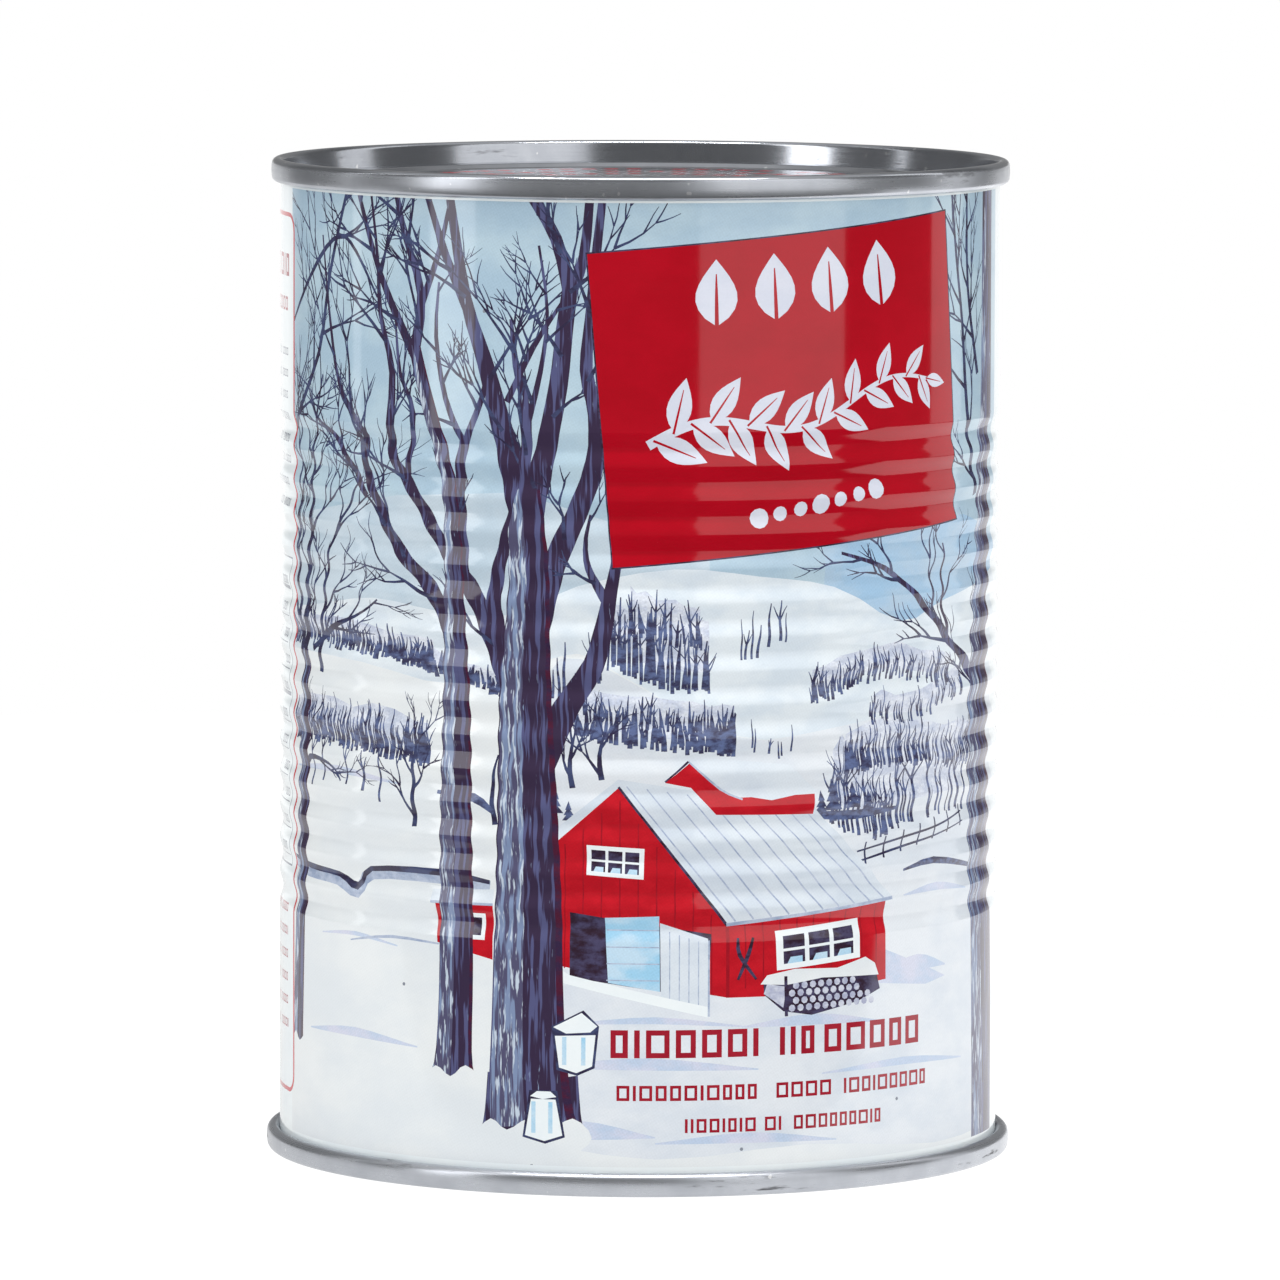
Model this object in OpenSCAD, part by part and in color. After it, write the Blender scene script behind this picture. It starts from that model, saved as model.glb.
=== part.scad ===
// Closed three-piece food can for 540 ml of maple syrup: a beaded steel body with a double-seamed
// end at the top and at the bottom. The can is shut, so the body is one solid with its contents.
// Origin: centre of the circle that the can stands on. +Z runs up the can's axis.

/* [Body] */
// Overall height, from the standing edge to the top edge
can_h = 115.9; // [80:0.1:160]
// Outside diameter of the plain body wall
body_d = 84; // [60:0.1:120]
// Thickness of the steel plate of the body and of both ends
plate_t = 0.2; // [0.15:0.01:0.25]

/* [Beads] */
// Number of hollow beads round the body
bead_count = 15; // [1:1:27]
// Height from one bead to the next
bead_pitch = 3.88; // [2:0.01:7]
// How far a bead goes in from the plain wall
bead_depth = 0.4; // [0.2:0.05:1.2]

/* [Seams] */
// How far the top seam stands out from the body wall
top_seam_out = 1; // [0.8:0.05:2]
// How far the bottom seam stands out from the body wall
bottom_seam_out = 1.5; // [0.8:0.05:2]
// Height of a seam, from its crest to the lowest point of its rolled hook
seam_h = 2.7; // [2.2:0.05:3.4]
// Radius of the two rounded edges of a seam's crest
crest_r = 0.55; // [0.3:0.05:0.55]

/* [Ends] */
// Depth of the countersink groove below the crest
groove_depth = 3.4; // [2.8:0.05:6]
// Radius of the groove's round bottom
groove_r = 0.5; // [0.3:0.05:0.6]
// How far the chuck wall leans in on its way down to the groove
chuck_lean = 0.4; // [0:0.05:0.8]
// Height of the panel's outer ring above the bottom of the groove
ring_rise = 1; // [0.85:0.05:1.5]
// Width of that ring
ring_w = 3.4; // [1:0.1:12]
// How far the centre panel lies below the ring
panel_drop = 0.5; // [0.2:0.05:1.2]
// Width of the sloping step from the ring to the centre panel
step_w = 0.8; // [0.4:0.1:3]
// Inside radius of the bend where the ring turns down to the groove
bend_r = 0.15; // [0.05:0.05:0.3]

/* [Hidden] */
$fn = 180;

arc_steps = 6;                                      // straight pieces in a quarter of a round
bead_steps = 12;                                    // straight pieces in one bead
body_r = body_d / 2;
wall_in_r = body_r - plate_t;                       // inside of the body wall, which the end fits
chuck_r = wall_in_r - plate_t;                      // chuck wall where it leaves the crest
groove_mid_r = chuck_r - chuck_lean - groove_r;
groove_mid_depth = groove_depth - groove_r;
ring_depth = groove_depth - ring_rise;
ring_out_r = groove_mid_r - groove_r - bend_r - plate_t;
ring_in_r = ring_out_r - ring_w;
panel_depth = ring_depth + panel_drop;
panel_r = ring_in_r - step_w;
beads_h = bead_count * bead_pitch;
beads_z = (can_h - beads_h) / 2;                    // where the band of beads starts

// The hook is rolled full round, from the seam's outside in to the body wall
function hook_r(seam_out) = seam_out / 2;
// Depth below the crest at which the body wall enters the seam
function wall_end(seam_out) = seam_h - hook_r(seam_out);

// Points on an arc, between two angles in degrees. In the outlines of an end a point is
// [radius, depth below the crest], and depth grows towards the middle of the can.
function arc(centre, radius, from, to) =
    let (steps = ceil(abs(to - from) / 90 * arc_steps))
    [for (i = [0:steps]) centre + radius * [cos(from + (to - from) * i / steps), sin(from + (to - from) * i / steps)]];

// One side of the end's plate, from the can's axis to the foot of the chuck wall. inset is 0 on the
// side that shows and the plate's thickness on the side that faces the syrup.
function plate_side(inset) = concat(
    [[0, panel_depth + inset], [panel_r, panel_depth + inset], [ring_in_r, ring_depth + inset]],
    arc([ring_out_r, ring_depth + bend_r + plate_t], bend_r + plate_t - inset, -90, 0),
    arc([groove_mid_r, groove_mid_depth], groove_r + inset, 180, 0)
);

// The seam, from the top of the chuck wall over the crest and round the hook to the body wall
function seam_side(seam_out) =
    let (seam_r = body_r + seam_out, roll_r = hook_r(seam_out))
    concat(
        arc([chuck_r + crest_r, crest_r], crest_r, 180, 270),
        arc([seam_r - crest_r, crest_r], crest_r, 270, 360),
        arc([seam_r - roll_r, seam_h - roll_r], roll_r, 0, 180)
    );

function reversed(points) = [for (i = [len(points) - 1:-1:0]) points[i]];
function from_top(points) = [for (p = points) [p[0], can_h - p[1]]];

// The syrup's side of an end, out to the edge of the body wall inside the seam
function joint_side(seam_out) =
    concat(plate_side(plate_t), [[wall_in_r, wall_end(seam_out)], [body_r, wall_end(seam_out)]]);

// The band of beads, as a wave that starts and ends on the plain wall
function bead_wave() = [
    for (i = [0:bead_count * bead_steps])
        [body_r - bead_depth * (1 - cos(360 * i / bead_steps)) / 2, beads_z + bead_pitch * i / bead_steps]
];

// One end with its crest down at height 0: panel, countersink groove, chuck wall and seam
module can_end(seam_out) {
    rotate_extrude()
        polygon(concat(plate_side(0), seam_side(seam_out), [[wall_in_r, wall_end(seam_out)]],
                       reversed(plate_side(plate_t))));
}

// The body wall with its beads and all that it holds, up to the backs of the two ends
module body() {
    color("lightsteelblue")
        rotate_extrude()
            polygon(concat(joint_side(bottom_seam_out), bead_wave(), from_top(reversed(joint_side(top_seam_out)))));
}

module top_end() {
    color("silver") translate([0, 0, can_h]) mirror([0, 0, 1]) can_end(top_seam_out);
}

module bottom_end() {
    color("silver") can_end(bottom_seam_out);
}

body();
top_end();
bottom_end();
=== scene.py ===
"""Looks of a shut tin of maple syrup.

The wall is one sheet of tinplate, printed flat and then rolled up and beaded. The print is drawn as
fields of colour and strokes on the flat sheet, cut into the sheet's faces, and rolled with it. The two
ends are turned from the section of their plate and seamed over the wall.

Sizes are in millimetres. On the flat sheet u runs along the sheet, from the middle of the front
towards the right, and v runs up from the tin's foot.
"""

from __future__ import annotations

import logging
import math
import random
from collections.abc import Iterable, Sequence
from dataclasses import dataclass, field
from enum import Enum

import bpy
import numpy as np
from mathutils import Matrix, Vector
from mathutils.geometry import delaunay_2d_cdt

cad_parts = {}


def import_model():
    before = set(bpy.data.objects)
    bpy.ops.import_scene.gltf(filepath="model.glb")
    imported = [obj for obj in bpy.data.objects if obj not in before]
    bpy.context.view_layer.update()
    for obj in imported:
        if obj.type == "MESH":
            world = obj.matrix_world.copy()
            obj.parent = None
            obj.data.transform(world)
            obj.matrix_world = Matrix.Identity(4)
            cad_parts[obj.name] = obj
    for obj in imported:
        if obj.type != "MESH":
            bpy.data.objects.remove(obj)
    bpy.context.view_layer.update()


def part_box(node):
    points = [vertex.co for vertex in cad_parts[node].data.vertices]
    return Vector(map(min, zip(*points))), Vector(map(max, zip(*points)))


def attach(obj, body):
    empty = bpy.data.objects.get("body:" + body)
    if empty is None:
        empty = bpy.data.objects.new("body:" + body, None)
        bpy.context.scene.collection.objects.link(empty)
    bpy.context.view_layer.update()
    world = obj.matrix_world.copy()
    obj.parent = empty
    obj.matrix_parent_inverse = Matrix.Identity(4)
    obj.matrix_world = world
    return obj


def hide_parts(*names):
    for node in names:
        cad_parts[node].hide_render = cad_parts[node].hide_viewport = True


LOG = logging.getLogger("syrup_tin")
MM = 0.001
SHEET_MAP = "Sheet"
BAKE_MAP = "OFBake"
SHEET_UNIT = 100.0  # one unit of the sheet's own UV map, in millimetres
SEAM_FOOT = (0.0416, 0.0421)  # radii in metres between which the ends pass from recess to seam
CREST_START = (0.1152, 0.1156)  # heights in metres between which the top seam turns into its crest

Point = tuple[float, float]
Knot = tuple[float, float, float]  # a point of a stroke and the stroke's width there
Colour = tuple[float, float, float]


def ink_colour(red: int, green: int, blue: int) -> Colour:
    """Turns a colour as it looks on a screen into the linear one that a shader works with.

    Args:
        red: Red from 0 to 255.
        green: Green from 0 to 255.
        blue: Blue from 0 to 255.

    Returns:
        The linear colour.
    """
    shares = (value / 255 for value in (red, green, blue))
    return tuple(s / 12.92 if s <= 0.04045 else ((s + 0.055) / 1.055) ** 2.4 for s in shares)


# ---------------------------------------------------------------------------------------------------
# Shader node groups
# ---------------------------------------------------------------------------------------------------


class Nodes:
    """A node tree with short calls for the nodes that the finishes are made of."""

    def __init__(self, tree: bpy.types.NodeTree) -> None:
        """Keeps the tree that the nodes go into."""
        self.tree = tree

    def add(self, kind: str, **settings: object) -> bpy.types.Node:
        """Adds a node and sets its properties.

        Args:
            kind: The node's Blender type.
            **settings: Properties of the node.

        Returns:
            The new node.
        """
        node = self.tree.nodes.new(kind)
        for name, value in settings.items():
            setattr(node, name, value)
        return node

    def feed(self, socket: bpy.types.NodeSocket, value: object) -> None:
        """Links a socket to another one, or sets it to a constant."""
        if isinstance(value, bpy.types.NodeSocket):
            self.tree.links.new(value, socket)
        elif isinstance(value, tuple) and len(value) == 3 and socket.type == "RGBA":
            socket.default_value = (*value, 1.0)
        else:
            socket.default_value = value

    def math(self, operation: str, *values: object) -> bpy.types.NodeSocket:
        """Adds a Math node and returns its result."""
        node = self.add("ShaderNodeMath", operation=operation)
        for socket, value in zip(node.inputs, values):
            self.feed(socket, value)
        return node.outputs[0]

    def mix(self, share: object, first: object, second: object) -> bpy.types.NodeSocket:
        """Blends two colours and returns the blend."""
        node = self.add("ShaderNodeMix", data_type="RGBA")
        self.feed(node.inputs["Factor"], share)
        self.feed(node.inputs[6], first)
        self.feed(node.inputs[7], second)
        return node.outputs[2]

    def ramp(self, value: object, low: float, high: float, start: float = 0.0, end: float = 1.0):
        """Maps a value smoothly from low..high to start..end and returns it."""
        node = self.add("ShaderNodeMapRange", interpolation_type="SMOOTHSTEP")
        for socket, number in zip(node.inputs, (value, low, high, start, end)):
            self.feed(socket, number)
        return node.outputs[0]

    def noise(self, vector: object, scale: object, detail: float = 2.0, rough: float = 0.5):
        """Adds a noise texture and returns its value, which lies around a half."""
        node = self.add("ShaderNodeTexNoise")
        self.feed(node.inputs["Vector"], vector)
        self.feed(node.inputs["Scale"], scale)
        self.feed(node.inputs["Detail"], detail)
        self.feed(node.inputs["Roughness"], rough)
        return node.outputs["Fac"]

    def stretched(self, vector: object, scale: Colour, turn: float = 0.0) -> bpy.types.NodeSocket:
        """Scales and turns coordinates with a Mapping node and returns them."""
        node = self.add("ShaderNodeMapping")
        self.feed(node.inputs["Vector"], vector)
        node.inputs["Scale"].default_value = scale
        node.inputs["Rotation"].default_value = (0.0, 0.0, turn)
        return node.outputs[0]

    def sheet(self) -> bpy.types.NodeSocket:
        """Returns the coordinates on the flat sheet."""
        return self.add("ShaderNodeUVMap", uv_map=SHEET_MAP).outputs[0]

    def place(self, group: bpy.types.NodeTree, **values: object) -> bpy.types.Node:
        """Places a node group and sets its inputs by name, with a space for each underscore."""
        node = self.add("ShaderNodeGroup")
        node.node_tree = group
        for name, value in values.items():
            self.feed(node.inputs[name.replace("_", " ")], value)
        return node


def new_group(name: str, inputs: dict[str, str], outputs: dict[str, str]) -> tuple[Nodes, dict, dict]:
    """Starts a shader node group.

    Args:
        name: The group's name.
        inputs: The kind of each input, by name.
        outputs: The kind of each output, by name.

    Returns:
        The group's nodes, its inputs as sockets to read and its outputs as sockets to feed.
    """
    tree = bpy.data.node_groups.new(name, "ShaderNodeTree")
    for label, kind in inputs.items():
        tree.interface.new_socket(label, in_out="INPUT", socket_type=kind)
    for label, kind in outputs.items():
        tree.interface.new_socket(label, in_out="OUTPUT", socket_type=kind)
    nodes = Nodes(tree)
    source = nodes.add("NodeGroupInput")
    target = nodes.add("NodeGroupOutput")
    return nodes, {s.name: s for s in source.outputs}, {s.name: s for s in target.inputs}


COLOUR = "NodeSocketColor"
VALUE = "NodeSocketFloat"


def print_grain_group() -> bpy.types.NodeTree:
    """Ink on the sheet: two shades in soft patches, a fine dot screen and the grain of the print."""
    nodes, given, out = new_group(
        "Print grain",
        {
            "Main": COLOUR, "Second": COLOUR, "Patches": VALUE, "Spread": VALUE, "Screen": VALUE,
            "Grain": VALUE
        },
        {"Colour": COLOUR},
    )
    sheet = nodes.sheet()
    wide = nodes.stretched(sheet, (1.0, 1.7, 1.0))
    patches = nodes.noise(wide, given["Patches"], 4.0, 0.6)
    shade = nodes.math("MULTIPLY", nodes.ramp(patches, 0.36, 0.64), given["Spread"])
    colour = nodes.mix(shade, given["Main"], given["Second"])
    dots = nodes.add("ShaderNodeSeparateXYZ")
    nodes.feed(dots.inputs[0], nodes.stretched(sheet, (1400.0, 1400.0, 1.0), math.radians(15)))
    across = nodes.math("SINE", dots.outputs[0])
    up = nodes.math("SINE", dots.outputs[1])
    screen = nodes.math("MULTIPLY", nodes.math("MULTIPLY", across, up), given["Screen"])
    grain = nodes.math("SUBTRACT", nodes.noise(sheet, 330.0, 2.0, 0.7), 0.5)
    speckle = nodes.math("MULTIPLY_ADD", grain, given["Grain"], screen)
    level = nodes.math("ADD", speckle, 1.0)
    scaled = nodes.add("ShaderNodeVectorMath", operation="SCALE")
    nodes.feed(scaled.inputs[0], colour)
    nodes.feed(scaled.inputs["Scale"], level)
    nodes.feed(out["Colour"], scaled.outputs[0])
    return nodes.tree


def bark_group() -> bpy.types.NodeTree:
    """Drawn bark: dark wood with pale and blue streaks that run up the trunk."""
    nodes, given, out = new_group(
        "Drawn bark",
        {"Wood": COLOUR, "Streak": COLOUR, "Light": COLOUR, "Streaks": VALUE, "Lights": VALUE},
        {"Colour": COLOUR},
    )
    sheet = nodes.sheet()
    fine = nodes.noise(nodes.stretched(sheet, (260.0, 26.0, 1.0)), 1.0, 3.0, 0.6)
    bold = nodes.noise(nodes.stretched(sheet, (150.0, 11.0, 1.0)), 1.0, 2.0, 0.55)
    threshold = nodes.math("SUBTRACT", 0.78, given["Streaks"])
    streaks = nodes.ramp(nodes.math("SUBTRACT", bold, threshold), -0.03, 0.05)
    bright = nodes.math("SUBTRACT", 0.82, given["Lights"])
    lights = nodes.ramp(nodes.math("SUBTRACT", fine, bright), -0.02, 0.05)
    colour = nodes.mix(streaks, given["Wood"], given["Streak"])
    nodes.feed(out["Colour"], nodes.mix(lights, colour, given["Light"]))
    return nodes.tree


def varnish_group() -> bpy.types.NodeTree:
    """The gloss varnish over the print: how rough it is, and the faint waviness of its surface."""
    nodes, given, out = new_group(
        "Varnish", {"Gloss": VALUE, "Handling": VALUE}, {"Roughness": VALUE, "Height": VALUE}
    )
    sheet = nodes.sheet()
    rubbed = nodes.ramp(nodes.noise(sheet, 9.0, 5.0, 0.65), 0.52, 0.72)
    extra = nodes.math("MULTIPLY", rubbed, given["Handling"])
    nodes.feed(out["Roughness"], nodes.math("ADD", given["Gloss"], extra))
    peel = nodes.noise(sheet, 120.0, 1.0, 0.4)
    wave = nodes.noise(sheet, 14.0, 1.0, 0.4)
    nodes.feed(out["Height"], nodes.math("MULTIPLY_ADD", wave, 3.0, peel))
    return nodes.tree


def tinplate_group() -> bpy.types.NodeTree:
    """Bare tinplate: lines left round the axis by the rollers, dull clouds, scuffs and bright nicks."""
    nodes, given, out = new_group(
        "Rolled tinplate",
        {"Metal": COLOUR, "Dull": COLOUR, "Gloss": VALUE, "Wear": VALUE, "Lines": VALUE, "Scuffs": VALUE},
        {"Colour": COLOUR, "Roughness": VALUE, "Metallic": VALUE, "Height": VALUE},
    )
    where = nodes.add("ShaderNodeTexCoord").outputs["Object"]
    parts = nodes.add("ShaderNodeSeparateXYZ")
    nodes.feed(parts.inputs[0], where)
    flat = nodes.add("ShaderNodeCombineXYZ")
    nodes.feed(flat.inputs[0], parts.outputs[0])
    nodes.feed(flat.inputs[1], parts.outputs[1])
    length = nodes.add("ShaderNodeVectorMath", operation="LENGTH")
    nodes.feed(length.inputs[0], flat.outputs[0])
    section = nodes.add("ShaderNodeCombineXYZ")
    nodes.feed(section.inputs[0], length.outputs["Value"])
    nodes.feed(section.inputs[1], parts.outputs[2])
    rings = nodes.add("ShaderNodeVectorMath", operation="MULTIPLY_ADD")
    nodes.feed(rings.inputs[0], section.outputs[0])
    rings.inputs[1].default_value = (9000.0, 9000.0, 0.0)
    nodes.feed(rings.inputs[2], nodes.stretched(where, (30.0, 30.0, 30.0)))
    lines = nodes.noise(rings.outputs[0], 1.0, 3.0, 0.6)
    clouds = nodes.noise(where, 170.0, 4.0, 0.6)
    fine = nodes.noise(where, 2600.0, 2.0, 0.6)
    dull = nodes.math(
        "MULTIPLY_ADD", nodes.ramp(clouds, 0.38, 0.66), 0.55, nodes.math("MULTIPLY", lines, 0.3)
    )
    scuffed = nodes.noise(nodes.stretched(where, (60.0, 60.0, 420.0)), 1.0, 5.0, 0.7)
    scuffs = nodes.math("MULTIPLY", nodes.ramp(scuffed, 0.60, 0.70), given["Scuffs"])
    colour = nodes.mix(dull, given["Metal"], given["Dull"])
    colour = nodes.mix(scuffs, colour, (0.06, 0.06, 0.065))
    nicks = nodes.math("MULTIPLY", nodes.ramp(nodes.noise(where, 900.0, 1.0, 0.5), 0.73, 0.78), 0.5)
    nodes.feed(out["Colour"], nodes.mix(nicks, colour, (0.9, 0.9, 0.9)))
    handled = nodes.math("MULTIPLY", nodes.ramp(length.outputs["Value"], *SEAM_FOOT), given["Wear"])
    handled = nodes.math("MULTIPLY", handled, nodes.ramp(parts.outputs[2], *CREST_START, 1.0, 0.0))
    nodes.feed(out["Metallic"], nodes.math("MULTIPLY_ADD", handled, -0.8, 0.93))
    rough = nodes.math("ADD", given["Gloss"], handled)
    rough = nodes.math("MULTIPLY_ADD", nodes.math("SUBTRACT", lines, 0.5), given["Lines"], rough)
    rough = nodes.math("MULTIPLY_ADD", scuffs, 0.2, rough)
    nodes.feed(out["Roughness"], nodes.math("MULTIPLY_ADD", clouds, 0.1, rough))
    nodes.feed(out["Height"], nodes.math("MULTIPLY_ADD", fine, 0.35, lines))
    return nodes.tree


def dash_ring_group() -> bpy.types.NodeTree:
    """A ring of short printed dashes round the axis, as a mask."""
    nodes, given, out = new_group(
        "Dash ring", {"Radius": VALUE, "Width": VALUE, "Dashes": VALUE, "Share": VALUE}, {"Mask": VALUE}
    )
    parts = nodes.add("ShaderNodeSeparateXYZ")
    nodes.feed(parts.inputs[0], nodes.add("ShaderNodeTexCoord").outputs["Object"])
    squares = [nodes.math("MULTIPLY", parts.outputs[i], parts.outputs[i]) for i in range(2)]
    radius = nodes.math("SQRT", nodes.math("ADD", *squares))
    off = nodes.math("ABSOLUTE", nodes.math("SUBTRACT", radius, given["Radius"]))
    on_ring = nodes.math("LESS_THAN", off, nodes.math("MULTIPLY", given["Width"], 0.5))
    turn = nodes.math("DIVIDE", nodes.math("ARCTAN2", parts.outputs[1], parts.outputs[0]), math.tau)
    step = nodes.math("FRACT", nodes.math("MULTIPLY", turn, given["Dashes"]))
    dashes = nodes.math("LESS_THAN", step, given["Share"])
    group_of_five = nodes.math(
        "FRACT", nodes.math("DIVIDE", nodes.math("MULTIPLY", turn, given["Dashes"]), 6.0)
    )
    spaced = nodes.math("LESS_THAN", group_of_five, 0.8)
    nodes.feed(out["Mask"], nodes.math("MULTIPLY", on_ring, nodes.math("MULTIPLY", dashes, spaced)))
    return nodes.tree


@dataclass(frozen=True)
class Effects:
    """The node groups that the materials share."""

    grain: bpy.types.NodeTree
    bark: bpy.types.NodeTree
    varnish: bpy.types.NodeTree
    tinplate: bpy.types.NodeTree
    dashes: bpy.types.NodeTree

    @classmethod
    def build(cls) -> Effects:
        """Builds every group once."""
        return cls(print_grain_group(), bark_group(), varnish_group(), tinplate_group(), dash_ring_group())


# ---------------------------------------------------------------------------------------------------
# Finishes
# ---------------------------------------------------------------------------------------------------


@dataclass(frozen=True)
class Varnish:
    """The clear gloss coat that lies over all the inks."""

    gloss: float = 0.075
    handling: float = 0.05
    waviness: float = 0.05
    depth: float = 0.00001

    def coat(self, nodes: Nodes, shader: bpy.types.Node, effects: Effects) -> None:
        """Gives a Principled shader the coat's gloss and its faint waviness."""
        effect = nodes.place(effects.varnish, Gloss=self.gloss, Handling=self.handling)
        nodes.feed(shader.inputs["Roughness"], effect.outputs["Roughness"])
        shader.inputs["IOR"].default_value = 1.5
        bump = nodes.add("ShaderNodeBump")
        bump.inputs["Strength"].default_value = self.waviness
        bump.inputs["Distance"].default_value = self.depth
        nodes.feed(bump.inputs["Height"], effect.outputs["Height"])
        nodes.feed(shader.inputs["Normal"], bump.outputs[0])


def new_material(name: str) -> tuple[bpy.types.Material, Nodes, bpy.types.Node]:
    """Makes an empty material.

    Args:
        name: The material's name.

    Returns:
        The material, its nodes and its Principled shader.
    """
    material = bpy.data.materials.new(name)
    material.use_nodes = True
    nodes = Nodes(material.node_tree)
    return material, nodes, material.node_tree.nodes["Principled BSDF"]


@dataclass(frozen=True)
class PrintedInk:
    """One ink of the print: its two shades, how they mix, its screen and its grain."""

    main: Colour
    second: Colour
    patches: float = 9.0
    spread: float = 1.0
    screen: float = 0.02
    grain: float = 0.12

    def material(self, name: str, effects: Effects) -> bpy.types.Material:
        """Makes the ink's material under the varnish."""
        material, nodes, shader = new_material(name)
        effect = nodes.place(
            effects.grain,
            Main=self.main,
            Second=self.second,
            Patches=self.patches,
            Spread=self.spread,
            Screen=self.screen,
            Grain=self.grain,
        )
        nodes.feed(shader.inputs["Base Color"], effect.outputs["Colour"])
        Varnish().coat(nodes, shader, effects)
        return material


@dataclass(frozen=True)
class BarkInk:
    """The drawn bark of a trunk or a limb."""

    wood: Colour
    streak: Colour
    light: Colour
    streaks: float
    lights: float

    def material(self, name: str, effects: Effects) -> bpy.types.Material:
        """Makes the bark's material under the varnish."""
        material, nodes, shader = new_material(name)
        effect = nodes.place(
            effects.bark,
            Wood=self.wood,
            Streak=self.streak,
            Light=self.light,
            Streaks=self.streaks,
            Lights=self.lights,
        )
        nodes.feed(shader.inputs["Base Color"], effect.outputs["Colour"])
        Varnish().coat(nodes, shader, effects)
        return material


@dataclass(frozen=True)
class Tinplate:
    """Bare steel plate with its coat of tin."""

    metal: Colour = (0.52, 0.54, 0.58)
    dull: Colour = (0.42, 0.44, 0.48)
    gloss: float = 0.11
    wear: float = 0.13
    lines: float = 0.12
    scuffs: float = 0.5
    relief: float = 0.25

    def material(self, name: str, effects: Effects, dashes: LidMarks | None = None) -> bpy.types.Material:
        """Makes the plate's material.

        Args:
            name: The material's name.
            effects: The shared node groups.
            dashes: The marks printed on it, if it has any.

        Returns:
            The material.
        """
        material, nodes, shader = new_material(name)
        effect = nodes.place(
            effects.tinplate,
            Metal=self.metal,
            Dull=self.dull,
            Gloss=self.gloss,
            Wear=self.wear,
            Lines=self.lines,
            Scuffs=self.scuffs,
        )
        colour = effect.outputs["Colour"]
        metallic = effect.outputs["Metallic"]
        if dashes is not None:
            mask = dashes.mask(nodes, effects)
            colour = nodes.mix(mask, colour, dashes.ink)
            metallic = nodes.math("MULTIPLY", metallic, nodes.math("SUBTRACT", 1.0, mask))
        nodes.feed(shader.inputs["Base Color"], colour)
        nodes.feed(shader.inputs["Metallic"], metallic)
        nodes.feed(shader.inputs["Roughness"], effect.outputs["Roughness"])
        bump = nodes.add("ShaderNodeBump")
        bump.inputs["Strength"].default_value = self.relief
        bump.inputs["Distance"].default_value = 0.00001
        nodes.feed(bump.inputs["Height"], effect.outputs["Height"])
        nodes.feed(shader.inputs["Normal"], bump.outputs[0])
        return material


@dataclass(frozen=True)
class LidMarks:
    """Rings of plain red dashes printed on the top panel."""

    ink: Colour = ink_colour(176, 24, 40)
    radii: tuple[float, ...] = (31.0, 25.5, 20.0)
    width: float = 2.2
    spacing: float = 2.6
    share: float = 0.6

    def mask(self, nodes: Nodes, effects: Effects) -> bpy.types.NodeSocket:
        """Adds the rings up to one mask and returns it."""
        total: object = 0.0
        for radius in self.radii:
            count = 6 * round(math.tau * radius / self.spacing / 6)
            ring = nodes.place(
                effects.dashes,
                Radius=radius * MM,
                Width=self.width * MM,
                Dashes=float(count),
                Share=self.share,
            )
            total = nodes.math("MAXIMUM", total, ring.outputs["Mask"])
        return total


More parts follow.
